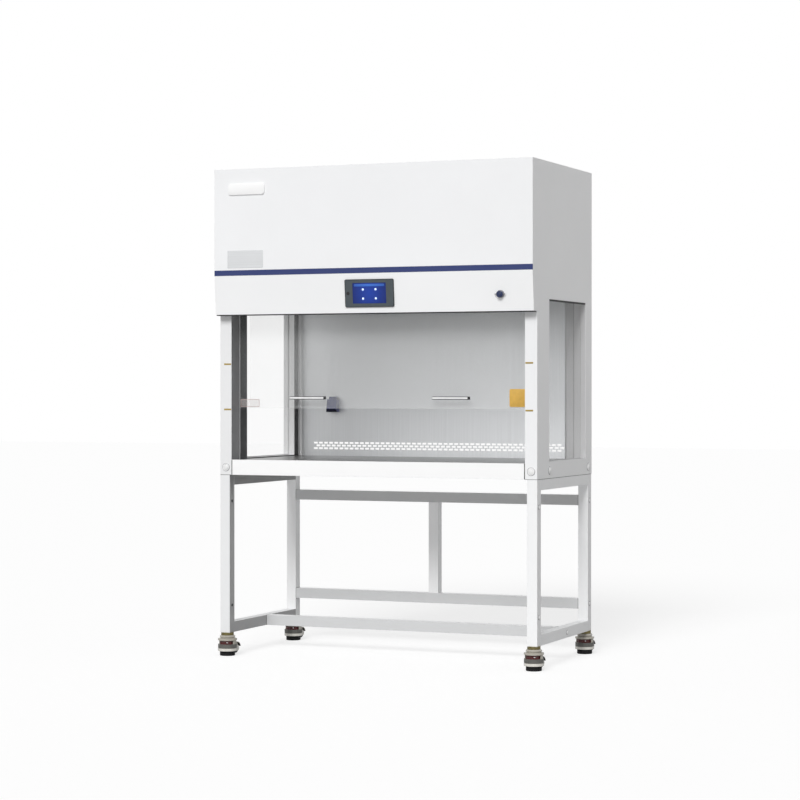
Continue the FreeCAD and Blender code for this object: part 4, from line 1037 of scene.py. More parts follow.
@dataclass
class ControlPanel:
    """The display in the fascia and the round key switch beside it."""

    lean_depth: float = 0.013
    lean_height: float = 0.149
    bezel_height: float = 0.105
    bezel_place: Point = (0.0, 0.074, 0.0041)
    rim_width: float = 0.0022
    rim_rise: float = 0.0008
    rim_round: Span = (0.006, 0.0004)
    hole_round: float = 0.004
    hole_depth: float = 0.02
    screen_size: Span = (0.136, 0.077)
    screen_depth: float = 0.0003
    bar_margin: Span = (0.006, 0.004)
    bar_height: float = 0.009
    bar_round: float = 0.003
    icon: float = 0.0075
    icon_spread: Span = (0.026, 0.017)
    icon_drop: float = 0.003
    icon_round: float = 0.7
    picture_rise: float = 0.0002
    picture_edge: float = 0.00005
    sensor_x: float = -0.087
    sensor_radius: float = 0.0064
    sensor_rise: float = 0.0007
    sensor_rim: float = 0.0012
    sensor_dish: float = 0.0004
    sensor_near: float = 0.001
    sensor_crown: Span = (0.0006, 0.6)
    sensor_soft: float = 0.0001
    switch_place: Point = (0.523, 0.0625, 0.0063)
    cap_radius: float = 0.0125
    cap_length: float = 0.0117
    cap_dish: float = 0.0016
    cap_soft: float = 0.0004
    cap_taper: float = 0.88
    cap_grooves: Span = (0.22, 0.16)
    cap_boss: Point = (1.6, 0.5, 0.7)
    shaft: Span = (0.004, 0.021)
    wing_size: Point = (0.041, 0.0037, 0.0044)
    wing_round: float = 0.45

    @property
    def lean(self) -> float:
        """The angle at which the fascia leans back."""
        return math.atan(self.lean_depth / self.lean_height)

    @property
    def out(self) -> Vector:
        """The fascia's outward direction."""
        return Vector((0.0, -math.cos(self.lean), -math.sin(self.lean)))

    def dress(self) -> None:
        """Dresses the bezel, the screen and the switch."""
        dress_nodes(BEZEL_PLASTIC, "display_bezel")
        dress_nodes(SCREEN, "display_screen")
        dress_nodes(RING_METAL, "switch_ring")

    def build(self) -> None:
        """Models the bezel's rim, the screen's picture, the sensor's lens and the switch's cap."""
        self._rim()
        self._picture()
        self._sensor()
        self._cap()
        self._wings()

    def _off_skin(self, place: Point) -> Vector:
        """Gives a place off the fascia's slanted face.

        Args:
            place: Its X, its height above the fascia's lower edge, and how far it stands off the face.

        Returns:
            The place.
        """
        x, height, rise = place
        low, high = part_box("fascia")
        share = 1.0 - height / (high.z - low.z)
        return Vector((x, low.y + self.lean_depth * share, low.z + height)) + self.out * rise

    def _rim(self) -> None:
        """Models the black rim that lies round the bezel's front."""
        low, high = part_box("display_bezel")
        front = self._off_skin(self.bezel_place)
        wide, tall = (high.x - low.x) / 2, self.bezel_height / 2
        rim = front_plate("bezel_rim", (-wide, front.y - self.rim_rise, front.z - tall),
                          (wide, front.y, front.z + tall), *self.rim_round)
        wide, tall = wide - self.rim_width, tall - self.rim_width
        hole = Workpiece.block("rim_hole", (-wide, front.y - self.hole_depth, front.z - tall),
                               (wide, front.y + self.hole_depth, front.z + tall))
        rim.bore(hole.round_edges(runs_back, self.hole_round, steps=6))
        rim.turn(front, (self.lean, 0.0, 0.0))
        rim.finish(BLACK_PLASTIC, "cabinet", "black_plastic")

    def _picture(self) -> None:
        """Models the screen's bar and its four plain marks."""
        face = self._off_skin(self.bezel_place) - self.out * self.screen_depth
        front = face.y - self.picture_rise
        side = self.screen_size[0] / 2 - self.bar_margin[0]
        top = face.z + self.screen_size[1] / 2 - self.bar_margin[1]
        bar = front_plate("screen_bar", (-side, front, top - self.bar_height), (side, face.y, top),
                          self.bar_round, self.picture_edge)
        bar.turn(face, (self.lean, 0.0, 0.0))
        bar.finish(SCREEN_BAR, "cabinet", "screen_blue")
        half = self.icon / 2
        (x, rise), middle_z = self.icon_spread, face.z - self.icon_drop
        marks = front_plate("screen_marks", (-x - half, front, middle_z - rise - half),
                            (-x + half, face.y, middle_z - rise + half), half * self.icon_round,
                            self.picture_edge)
        marks.join(marks.copy("mark_above", (0.0, 0.0, 2 * rise)))
        marks.join(marks.copy("marks_beside", (2 * x, 0.0, 0.0)))
        marks.turn(face, (self.lean, 0.0, 0.0))
        marks.finish(SCREEN_ICON, "cabinet", "screen_blue")

    def _sensor(self) -> None:
        """Models the dark lens and its rim over the bezel's small round hole."""
        out = self.out
        seat = self._off_skin(self.bezel_place) + Vector((self.sensor_x, 0.0, 0.0))
        rise, taper = self.sensor_crown
        lens = Workpiece.round("sensor_lens", self.sensor_radius, self.sensor_rise, seat, out, sides=32)
        lens.step(lambda centre, normal: normal.dot(out) > EXACTLY, self.sensor_rim, -out * self.sensor_dish)
        lens.taper(lambda centre, normal: normal.dot(out) > EXACTLY
                   and abs(centre.x - self.sensor_x) < self.sensor_near, out * rise, taper)
        lens.soften(self.sensor_soft)
        lens.finish(BLACK_PLASTIC, "cabinet", "black_plastic")

    def _cap(self) -> None:
        """Models the switch's dished cap on its shaft, in place of the plain one."""
        seat, out, dish = self._off_skin(self.switch_place), self.out, self.cap_dish
        is_top = end_disc(seat, out, self.cap_radius)
        cap = Workpiece.round("switch_cap", self.cap_radius, self.cap_length - 2 * dish, seat, out)
        outer, inner = (self.cap_radius * share for share in self.cap_grooves)
        rise, crown, crown_taper = self.cap_boss
        cap.taper(is_top, out * dish, self.cap_taper)
        cap.step(is_top, outer, -out * dish)
        cap.step(is_top, inner, out * dish * rise)
        cap.taper(is_top, out * dish * crown, crown_taper)
        cap.soften(self.cap_soft)
        cap.join(Workpiece.round("switch_shaft", *self.shaft, seat, -out, sides=24))
        cap.finish(KNOB_BLUE, "switch_knob", "knob_blue", replaces=("switch_knob",))

    def _wings(self) -> None:
        """Models the bright bar behind the cap that shows as two wings."""
        seat = self._off_skin(self.switch_place)
        wide, deep, tall = self.wing_size
        wings = Workpiece.block("switch_wings", (seat.x - wide / 2, seat.y - deep, seat.z - tall / 2),
                                (seat.x + wide / 2, seat.y, seat.z + tall / 2))
        wings.round_edges(runs_back, tall * self.wing_round)
        wings.turn(seat, (self.lean, 0.0, 0.0))
        wings.finish(RING_METAL, "switch_knob", "bright_metal")


@dataclass
class SideWalls:
    """The folded side panels with the front posts, their liners, panes, seals and opening marks."""

    bead: float = 0.0022
    bead_rise: float = 0.002
    bead_soft: float = 0.0006
    top_seal: float = 0.0062
    top_seal_reach: Span = (0.0015, 0.010)
    top_seal_round: float = 0.0015
    seam: float = 0.0009
    seam_depth: float = 0.003
    seam_rise: float = 0.0002
    seam_soft: float = 0.0001
    seam_span: Span = (0.0498, 0.684)
    corner_seal_span: Span = (0.6155, 0.6200)
    corner_seal_rise: float = 0.0012
    corner_seal_soft: float = 0.0004
    corner_seal_ends: Span = (0.0003, 0.0015)
    mark_heights: Span = (0.955, 1.130)
    mark_size: Point = (0.030, 0.0005, 0.0062)
    mark_inset: float = 0.017
    mark_round: Span = (0.001, 0.0001)
    end_gap: float = 0.0003
    reveal: float = 0.5

    def dress(self) -> None:
        """Dresses the sheets and panes, with painted light and shade on the posts, cheeks, liners and jambs."""
        dress_nodes(SIDE_SHADE_PAINT, "side_panel_left", "side_panel_right")
        # Painted shade: the liners get the near-black steel.
        dress_nodes(LINER_SHADE_STEEL, "side_liner_left", "side_liner_right")
        dress_nodes(SIDE_PANE, "side_glass_left", "side_glass_right")
        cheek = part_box("side_panel_right")[0].x
        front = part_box("base_pan")[0].y
        # Painted light: the right post's front face gets the lighter cabinet paint, while the left post's keeps
        # the darker side paint.
        dress_faces("side_panel_right", CABINET_PAINT,
                    lambda centre, normal: faces_front(centre, normal) and abs(centre.y - front) < SHEET_NEAR)
        # Painted light and shade: the left reveal gets the lit paint, the right one the shaded paint.
        for word, jamb in (("left", LIT_JAMB_PAINT), ("right", SHADED_JAMB)):
            dress_faces("side_liner_" + word, jamb, lambda centre, normal: abs(normal.x) < self.reveal)
            # Painted shade: the posts' inner cheek faces get dark steel.
            dress_faces("side_panel_" + word, CHEEK_SHADE_STEEL,
                        lambda centre, normal: abs(abs(centre.x) - cheek) < SHEET_NEAR
                        and abs(normal.x) > ALONG)

    def build(self) -> None:
        """Models the right side's seals and marks, and mirrors each to the left."""
        self._bead()
        self._top_seal()
        self._seam()
        self._corner_seal()
        self._marks()

    def _bead(self) -> None:
        """Models the sealing bead round the pane's outer face."""
        low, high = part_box("side_glass_right")
        bead = Workpiece.block("pane_bead_right", (high.x, low.y, low.z),
                               (high.x + self.bead_rise, high.y, high.z))
        margin = Vector((-2 * self.bead_rise, self.bead, self.bead))
        hole = Workpiece.block("bead_hole", Vector((high.x, low.y, low.z)) + margin,
                               Vector((high.x + self.bead_rise, high.y, high.z)) - margin)
        bead.bore(hole).soften(self.bead_soft)
        finish_pair(bead, BEAD_GREY, "black_plastic")

    def _top_seal(self) -> None:
        """Models the black strip under the window's upper edge."""
        low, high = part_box("side_glass_right")
        outer, inner = (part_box("side_panel_right")[1].x - reach for reach in self.top_seal_reach)
        under = high.z - self.top_seal
        strip = Workpiece.block("window_seal_right", (inner, low.y, under), (outer, high.y, high.z))
        strip.round_edges(lambda centre, along: abs(centre.z - under) < NEAR and runs_back(centre, along),
                          self.top_seal_round, steps=3)
        finish_pair(strip, GASKET_RUBBER, "black_plastic")

    def _seam(self) -> None:
        """Models the foam tape between the panel and the stand, along the side and the post's front."""
        low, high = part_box("side_panel_right")
        front, rear = (back(distance) for distance in self.seam_span)
        turn = high.x - self.seam_depth
        runs = (
            ((turn, front), (high.x + self.seam_rise, rear)),
            ((low.x, front), (turn, front + self.seam_depth)),
        )
        tapes = [Workpiece.block("seam_tape_right", (*start, low.z - self.seam), (*end, low.z + self.seam))
                 for start, end in runs]
        for tape in tapes:
            tape.soften(self.seam_soft)
        finish_pair(tapes[0].join(tapes[1]), SEAM_GREY, "black_plastic")

    def _corner_seal(self) -> None:
        """Models the black bead that runs up the liner behind the window."""
        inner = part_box("worktop")[1].x + self.end_gap
        near, far = (back(distance) for distance in self.corner_seal_span)
        lift, drop = self.corner_seal_ends
        bead = Workpiece.block("corner_seal_right",
                               (inner - self.corner_seal_rise, near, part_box("worktop")[1].z + lift),
                               (inner, far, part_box("side_liner_right")[1].z - drop))
        finish_pair(bead.soften(self.corner_seal_soft), GASKET_RUBBER, "black_plastic")

    def _marks(self) -> None:
        """Models the lower opening mark on the post's face, and copies it to the upper one's place."""
        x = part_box("side_panel_right")[0].x + self.mark_inset
        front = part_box("base_pan")[0].y
        wide, thick, tall = self.mark_size
        lower, upper = self.mark_heights
        first = front_plate("opening_mark_right_1", (x - wide / 2, front - thick, lower - tall / 2),
                            (x + wide / 2, front, lower + tall / 2), *self.mark_round)
        for mark in (first.copy("opening_mark_right_2", (0.0, 0.0, upper - lower)), first):
            finish_pair(mark, MARK_ORANGE, "white_plastic")


@dataclass
class Chamber:
    """The worktop, the slotted back wall, the socket, the lamps and the base pan."""

    end_gap: float = 0.0032
    joint_ends: Span = (0.0005, 0.0006)
    joint_depth: Span = (0.0003, 0.0012)
    joint_soft: float = 0.0002
    wall_place: float = 0.6617
    wall_ends: Span = (0.0003, 0.002)
    cove: Point = (0.0130, 0.0010, 0.0002)
    duct_side: float = 0.552
    duct_inset: float = 0.0145
    duct_depth: float = 0.022
    duct_round: float = 0.016
    lip_height: float = 0.013

    def dress(self) -> None:
        """Dresses the steel and the fittings."""
        dress_nodes(LIP_PAINT, "base_pan")
        dress_nodes(TOP_STEEL, "worktop")
        dress_nodes(WALL_STEEL, "back_liner")
        dress_nodes(SOCKET_BLUE, "socket_box", "socket_flap")
        lip_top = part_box("socket_flap")[0].z + self.lip_height
        dress_faces("socket_flap", SOCKET_LIP, lambda centre, normal: centre.z < lip_top + NEAR)
        dress_nodes(WHITE_PLASTIC, "led_lamp")
        dress_nodes(LAMP_GLASS, "uv_lamp")

    def build(self) -> None:
        """Models the dark joints at the apron's ends, and the duct and the cove in the rear corners."""
        self._apron_joints()
        self._corner_duct()
        self._corner_cove()

    def _apron_joints(self) -> None:
        """Models the rubber strip between the apron and the right post, and mirrors it to the left."""
        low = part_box("base_pan")[0]
        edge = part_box("side_panel_right")[0].x
        lift, drop = self.joint_ends
        proud, depth = self.joint_depth
        strip = Workpiece.block("apron_joint_right", (edge - self.end_gap, low.y - proud, low.z + lift),
                                (edge, low.y + depth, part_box("worktop")[1].z - drop))
        finish_pair(strip.soften(self.joint_soft), GASKET_RUBBER, "black_plastic")

    def _wall_heights(self) -> Span:
        """Gives the heights between which a piece stands in the rear corner."""
        lift, drop = self.wall_ends
        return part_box("worktop")[1].z + lift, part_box("side_liner_right")[1].z - drop

    def _corner_duct(self) -> None:
        """Models the narrow wiring duct in the rear corner, with its rounded front edge."""
        rear = back(self.wall_place)
        front = rear - self.duct_depth
        floor, ceiling = self._wall_heights()
        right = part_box("side_liner_right")[0].x + self.duct_inset
        duct = Workpiece.block("corner_duct", (self.duct_side, front, floor), (right, rear, ceiling))
        duct.round_edges(lambda centre, along: abs(along.z) > ALONG and abs(centre.x - self.duct_side) < NEAR
                         and abs(centre.y - front) < NEAR, self.duct_round, steps=8)
        duct.finish(DUCT_STEEL, "cabinet", "stainless")

    def _corner_cove(self) -> None:
        """Models the rounded cove in the rear left corner by spinning a strip a quarter turn, in darker steel
        as painted shade.
        """
        radius, thick, start = self.cove
        floor, ceiling = self._wall_heights()
        wall = self.wall_ends[0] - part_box("worktop")[1].x
        centre = (wall + radius, back(self.wall_place) - radius, 0.0)
        cove = Workpiece.block("corner_cove", (wall, centre[1], floor),
                               (wall + thick, centre[1] + start, ceiling))
        cove.sweep(lambda place, normal: normal.y > ALONG, centre, (0, 0, 1), math.pi / 2, steps=10)
        cove.finish(COVE_SHADE_STEEL, "cabinet", "stainless")


@dataclass
class Sash:
    """The sliding pane with its rail, its two bar handles and its films."""

    bar_length: float = 0.148
    bar_round: float = 0.0018
    face_rise: float = 0.0006
    face_size: Span = (0.002, 0.0072)
    face_ends: Span = (0.0004, 0.0060)
    face_round: Span = (0.0008, 0.0004)
    foot_radius: float = 0.0040
    foot_inset: float = 0.020
    foot_overlap: float = 0.001
    foot_soft: float = 0.0003
    flange: Point = (0.0056, 0.003, 0.001)
    flange_taper: float = 0.8
    flange_soft: float = 0.0006
    clear_place: Span = (-0.556, 0.9795)
    clear_size: Span = (0.081, 0.030)
    border: float = 0.0018
    hole_depth: float = 0.01
    amber_place: Span = (0.555, 1.0008)
    amber_size: Span = (0.076, 0.067)
    film: float = 0.0003
    film_round: Point = (0.004, 0.005, 0.006)
    film_edge: float = 0.0001
    safety_span: Span = (-0.560, 0.585)
    safety_ends: Span = (0.0005, 0.001)
    safety_round: float = 0.003

    def dress(self) -> None:
        """Dresses the pane and its rail."""
        dress_nodes(PANE, "sash_glass")
        dress_nodes(ANODISED, "sash_rail")

    def build(self) -> None:
        """Models the handles and the films."""
        self._handles()
        self._safety_film()
        self._films()

    def _handles(self) -> None:
        """Models the right handle's dark bar and its white face, and copies both to the left."""
        low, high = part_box("sash_handles")
        right, left = high.x, high.x - self.bar_length
        rear, height = low.y + (high.z - low.z), (low.z + high.z) / 2
        bar = Workpiece.block("handle_right", (left, low.y + self.face_rise, low.z), (right, rear, high.z))
        bar.round_edges(runs_across, self.bar_round)
        foot = self._foot(left + self.foot_inset, rear, height)
        bar.join(foot, foot.copy("other_foot", (self.bar_length - 2 * self.foot_inset, 0.0, 0.0)))
        depth, tall = self.face_size
        near, far = self.face_ends
        face = front_plate("handle_face_right", (left + near, low.y, height - tall / 2),
                           (right - far, low.y + depth, height + tall / 2), *self.face_round)
        bar_twin = bar.copy("handle_left", mirror=True)
        face_twin = face.copy("handle_face_left", (-left - right, 0.0, 0.0))
        bar.finish(BLACK_PLASTIC, "sash", "black_plastic", replaces=("sash_handles",))
        bar_twin.finish(BLACK_PLASTIC, "sash", "black_plastic")
        for piece in (face, face_twin):
            piece.finish(WHITE_PLASTIC, "sash", "white_plastic")

    def _foot(self, x: float, rear: float, height: float) -> Workpiece:
        """Models one foot of a handle with its flange on the pane.

        Args:
            x: The foot's X.
            rear: The Y of the bar's rear face.
            height: The foot's Z.

        Returns:
            The foot, ready to join to the bar.
        """
        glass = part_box("sash_glass")[0].y
        foot = Workpiece.round("handle_foot", self.foot_radius, glass - rear + self.foot_overlap,
                               (x, rear - self.foot_overlap, height), (0, 1, 0), sides=24)
        radius, length, rise = self.flange
        flange = Workpiece.round("handle_flange", radius, length, (x, glass - length, height), (0, 1, 0),
                                 sides=32)
        flange.taper(faces_front, (0.0, -rise, 0.0), self.flange_taper)
        return foot.soften(self.foot_soft).join(flange.soften(self.flange_soft))

    def _safety_film(self) -> None:
        """Models the clear safety film on the pane's rear."""
        low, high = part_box("sash_glass")
        left, right = self.safety_span
        lift, drop = self.safety_ends
        film = Workpiece.block("safety_film", (left, high.y, low.z + lift),
                               (right, high.y + self.film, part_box("sash_rail")[0].z - drop))
        film.round_edges(runs_back, self.safety_round)
        film.finish(SAFETY_FILM, "sash", "clear_glass")

    def _film(self, name: str, place: Span, size: Span, corner: float) -> Workpiece:
        """Models one film on the pane's front face.

        Args:
            name: The film's name.
            place: The X and Z of its middle.
            size: Its width and height.
            corner: The radius of its corners.

        Returns:
            The film, ready to dress.
        """
        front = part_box("sash_glass")[0].y
        x, z = place
        wide, high = size[0] / 2, size[1] / 2
        return front_plate(name, (x - wide, front - self.film, z - high), (x + wide, front, z + high), corner,
                           self.film_edge)

    def _films(self) -> None:
        """Models the clear film with its pale border, and the amber film."""
        inner, outer, amber_corner = self.film_round
        middle_size = tuple(side - 2 * self.border for side in self.clear_size)
        edge = self._film("clear_film_edge", self.clear_place, self.clear_size, outer)
        x, z = self.clear_place
        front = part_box("sash_glass")[0].y
        wide, high = middle_size[0] / 2, middle_size[1] / 2
        hole = Workpiece.block("film_hole", (x - wide, front - self.hole_depth, z - high),
                               (x + wide, front + self.hole_depth, z + high))
        edge.bore(hole.round_edges(runs_back, inner, steps=6))
        edge.finish(PINK_FILM, "sash", "white_plastic")
        film = self._film("clear_film", self.clear_place, middle_size, inner)
        film.finish(CLEAR_FILM, "sash", "clear_glass")
        amber = self._film("amber_film", self.amber_place, self.amber_size, amber_corner)
        amber.finish(AMBER_FILM, "sash", "white_plastic")


@dataclass
class Counterbalance:
    """The weights, pulleys and cables inside the side walls."""

    cable_radius: float = 0.00125
    turn_radius: float = 0.018
    turn_start: float = 0.0005
    cable_sides: int = 12
    run_cuts: int = 3

    def dress(self) -> None:
        """Dresses the moving ironwork."""
        dress_nodes(IRON, "counterweight_left", "counterweight_right")
        dress_nodes(SHAFT_STEEL, "pulley_shaft", "sash_cables")
        dress_nodes(BLACK_PLASTIC, "shaft_bearings")

    def build(self) -> None:
        """Models the right cable's two runs and its turn over the pulley, and mirrors them to the left."""
        shaft = middle("pulley_shaft")
        x = middle("counterweight_right").x
        runs = (
            ("cable_front_", "sash", shaft.y - self.turn_radius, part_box("sash_rail")[1].z),
            ("cable_rear_", "counterweights", shaft.y + self.turn_radius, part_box("counterweight_right")[1].z),
        )
        for word, body, y, end in runs:
            run = Workpiece.round(word + "right", self.cable_radius, shaft.z - end, (x, y, end), (0, 0, 1),
                                  self.cable_sides)
            run.divide(self.run_cuts)
            for side, piece in ((-1, run.copy(word + "left", mirror=True)), (1, run)):
                self._stretch(piece, body)
        turn = self._turn(x, shaft)
        twin = turn.copy("cable_turn_left", mirror=True)
        twin.finish(SHAFT_STEEL, "cabinet", "plain_steel")
        turn.finish(SHAFT_STEEL, "cabinet", "plain_steel", replaces=("sash_cables",))

    def _stretch(self, run: Workpiece, body: str) -> None:
        """Dresses a run, and puts its place into its mesh.

        Args:
            run: The run.
            body: The body at its moving end, named in the log.
        """
        run.obj.data.materials.append(material_of(SHAFT_STEEL))
        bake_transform(run.obj)
        log.info("piece %s stretches from cabinet to %s", run.obj.name, body)

    def _turn(self, x: float, shaft: Vector) -> Workpiece:
        """Models the right cable's half turn over the pulley by spinning its end.

        Args:
            x: The cable's X.
            shaft: The middle of the pulley's shaft.

        Returns:
            The half turn, ready to dress.
        """
        start = (x, shaft.y - self.turn_radius, shaft.z - self.turn_start)
        turn = Workpiece.round("cable_turn_right", self.cable_radius, self.turn_start, start, (0, 0, 1),
                               self.cable_sides)
        return turn.sweep(lambda centre, normal: normal.z > EXACTLY, (x, shaft.y, shaft.z), (1, 0, 0),
                          math.pi, steps=16)


@dataclass
class Plant:
    """The filter, the fan, the electrics, and the rear and roof fittings."""

    def dress(self) -> None:
        """Dresses the housing's inside and its back."""
        dress_nodes(CABINET_PAINT, "rear_panel")
        dress_nodes(BLACK_PLASTIC, "power_inlet")
        dress_nodes(ANODISED, "filter_frame")
        dress_nodes(FILTER_PAPER, "filter_media", "prefilter")
        dress_nodes(ZINC, "fan_deck", "fan_impeller", "control_box")
        dress_nodes(BLACK_PAINT, "fan_motor")


@dataclass(frozen=True)
class BoltHead:
    """A round bolt head. Its rim, groove, boss, crown and rounding are shares of its radius and height."""

    radius: float
    height: float
    rim: float = 0.55
    groove: Span = (0.24, 0.35)
    boss: Span = (0.10, 0.6)
    crown: Span = (0.2, 0.85)
    soft: float = 0.04

    def build(self, name: str, base: Vector, out: Vector) -> Workpiece:
        """Models the head with its groove and its raised middle.

        Args:
            name: The piece's name.
            base: The middle of the face that it sits on.
            out: The direction in which it stands out.

        Returns:
            The head, ready to dress.
        """
        is_middle = end_disc(base, out, self.radius)
        head = Workpiece.round(name, self.radius, self.height * self.rim, base, out, sides=40)
        inset, depth = self.groove
        head.step(is_middle, self.radius * inset, -out * self.height * depth)
        inset, rise = self.boss
        head.step(is_middle, self.radius * inset, out * self.height * rise)
        rise, taper = self.crown
        head.taper(is_middle, out * self.height * rise, taper)
        return head.soften(self.radius * self.soft)


@dataclass
class Stand:
    """The tube stand, its beams, and the bolt heads of the stand and the cabinet."""

    tube: float = 0.040
    wall: float = 0.0015
    rail_bottom: float = 0.660
    leg_places: Span = (0.070, 0.665)
    beams: tuple[Span, ...] = ((0.392, 0.110), (0.665, 0.196), (0.665, 0.600))
    joint: Point = (0.0014, 0.0006, 0.0003)
    large: Span = (0.014, 0.004)
    small: Span = (0.008, 0.003)
    washer: Span = (0.0016, 0.0008)
    washer_flat: float = 0.6
    washer_taper: float = 0.96
    post_bolt: Point = (0.626, 0.050, 0.731)
    side_bolts: Span = (0.189, 0.646)
    leg_bolts: Span = (0.196, 0.600)
    plug: Point = (0.0058, 0.0008, 0.0002)

    def dress(self) -> None:
        """Paints the tubes outside, lighter or darker as the light falls on them."""
        dress_nodes(STAND_PAINT, "stand_side_left", "stand_side_right", "stand_rear_frame",
                    "stand_cross_beam")
        dress_nodes(DARK_BRASS, "caster_mounts")
        dress_nodes(BOLT_WHITE, "bolt_caps")
        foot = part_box("stand_rear_frame")[0].z + self.tube
        head = self.beams[2][1] - self.tube
        dress_faces("stand_rear_frame", LIT_PAINT, faces_front)
        # Painted shade: the low rear beam's front is painted darker.
        dress_faces("stand_rear_frame", CROSS_SHADE_PAINT,
                    lambda centre, normal: faces_front(centre, normal) and centre.z < foot)
        # Painted shadow: the upper rear beam's front under the cabinet is painted darker.
        dress_faces("stand_rear_frame", BEAM_SHADOW_PAINT,
                    lambda centre, normal: faces_front(centre, normal) and centre.z > head)
        # Painted shade: the cross beam's front is painted darker.
        dress_faces("stand_cross_beam", CROSS_SHADE_PAINT, faces_front)
        rear = back(self.leg_places[1] - self.tube)
        # Painted light: the right frame's front faces get the lighter copy of the paint.
        dress_faces("stand_side_right", LIT_FRONT_PAINT, faces_front)
        dress_faces("stand_side_left", LIT_PAINT,
                    lambda centre, normal: faces_front(centre, normal) and centre.y > rear)
        for side, word in ((-1, "left"), (1, "right")):
            self._dress_inside(side, "stand_side_" + word)

    def _dress_inside(self, side: int, node: str) -> None:
        """Paints shade on a side frame's inner faces in front of the rear leg, and paints its tubes near black
        inside.

        Args:
            side: -1 for the left frame, 1 for the right one.
            node: The frame's node.
        """
        low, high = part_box(node)
        inner = low.x if side > 0 else high.x
        cavity = (low.x + self.wall, high.x - self.wall)
        rear = back(self.leg_places[1] - self.tube)

        def is_inner(centre: Vector, normal: Vector) -> bool:
            """Tells whether a face is on the frame's inner side, in front of its rear leg."""
            return normal.x * side < -ALONG and abs(centre.x - inner) < NEAR and centre.y < rear

        # Painted shade: the inner faces below the top rail are painted dark.
        dress_faces(node, INNER_SHADE_PAINT,
                    lambda centre, normal: is_inner(centre, normal) and 0.0 < centre.z < self.rail_bottom)
        # Painted shade: the top rail's inner face is painted darker still.
        dress_faces(node, RAIL_SHADE_PAINT,
                    lambda centre, normal: is_inner(centre, normal) and centre.z > self.rail_bottom)
        # Partly painted shade: the tubes' inner faces get near-black steel so that their holes look dark.
        dress_faces(node, TUBE_INSIDE_SHADE,
                    lambda centre, normal: abs(normal.x) > ALONG
                    and min(abs(centre.x - face) for face in cavity) < NEAR)

    def build(self) -> None:
        """Models the bolt heads on their washers, the joints at the beams' ends, and the leg plugs."""
        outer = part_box("side_panel_right")[1].x
        rise = self.leg_bolts[1] - self.leg_bolts[0]
        along = self.leg_places[1] - self.leg_places[0]
        beam = (0.0, self.beams[0][0] - self.leg_places[0], self.beams[0][1] - self.leg_bolts[0])
        x, y, z = self.post_bolt
        front, side = Vector((0, -1, 0)), Vector((1, 0, 0))
        self._bolts("post", (x, back(y), z), front, self.large, (), ("bolt_caps",))
        self._bolts("side", (outer, back(self.side_bolts[0]), z), side, self.large,
                    ((0.0, self.side_bolts[1] - self.side_bolts[0], 0.0),))
        self._bolts("leg", (outer, back(self.leg_places[0]), self.leg_bolts[0]), side, self.small,
                    ((0.0, 0.0, rise), (0.0, along, 0.0), (0.0, along, rise), beam))
        self._beam_joints(outer - self.tube)
        self._plugs(outer - self.tube)

    def _bolts(self, word: str, base: Point, out: Vector, size: Span, shifts: tuple[Point, ...],
               replaces: tuple[str, ...] = ()) -> None:
        """Models one bolt head and its washer, and copies both to their places on both sides.

        Args:
            word: The row of bolts.
            base: The place of the first one.
            out: The direction in which it stands out.
            size: Its radius and height.
            shifts: The other places on the same side, from the first.
            replaces: The CAD nodes that the heads stand for.
        """
        rim, thick = self.washer
        radius, height = size
        head = BoltHead(radius, height - thick).build(word + "_bolts", Vector(base) + out * thick, out)
        flat = thick * self.washer_flat
        washer = Workpiece.round(word + "_washers", radius + rim, flat, base, out, sides=40)
        washer.taper(lambda centre, normal: normal.dot(out) > EXACTLY, out * (thick - flat),
                     self.washer_taper)
        for piece in (head, washer):
            if shifts:
                piece.join(*(piece.copy("next", shift) for shift in shifts))
            piece.join(piece.copy("other_side", mirror=True))
        head.finish(BOLT_WHITE, "cabinet", "white_plastic", replaces)
        washer.finish(WASHER_GREY, "cabinet", "plain_steel")

    def _beam_joints(self, end: float) -> None:
        """Models the dark joint at a beam's end, and copies it to the ends of the three beams.

        Args:
            end: The X of the right side frame's inner face.
        """
        thick, proud, soft = self.joint
        half = self.tube / 2 + proud
        y, z = self.beams[0]
        joints = Workpiece.block("beam_joints", (end - thick, back(y) - half, z - half),
                                 (end, back(y) + half, z + half)).soften(soft)
        shifts = ((0.0, other[0] - y, other[1] - z) for other in self.beams[1:])
        joints.join(*(joints.copy("beam_joint", shift) for shift in shifts))
        joints.join(joints.copy("beam_joint_left", mirror=True))
        joints.finish(SEAM_GREY, "cabinet", "black_plastic")

    def _plugs(self, inner: float) -> None:
        """Models the black plug in a front leg's inner hole, and copies it to the other three.

        Args:
            inner: The X of the right side frame's inner face.
        """
        radius, thick, soft = self.plug
        base = (inner, back(self.leg_places[0]), self.leg_bolts[0])
        plugs = Workpiece.round("leg_plugs", radius, thick, base, (-1, 0, 0), sides=24).soften(soft)
        plugs.join(plugs.copy("leg_plug", (0.0, 0.0, self.leg_bolts[1] - self.leg_bolts[0])))
        plugs.join(plugs.copy("leg_plugs_left", mirror=True))
        plugs.finish(BLACK_PLASTIC, "cabinet", "black_plastic")


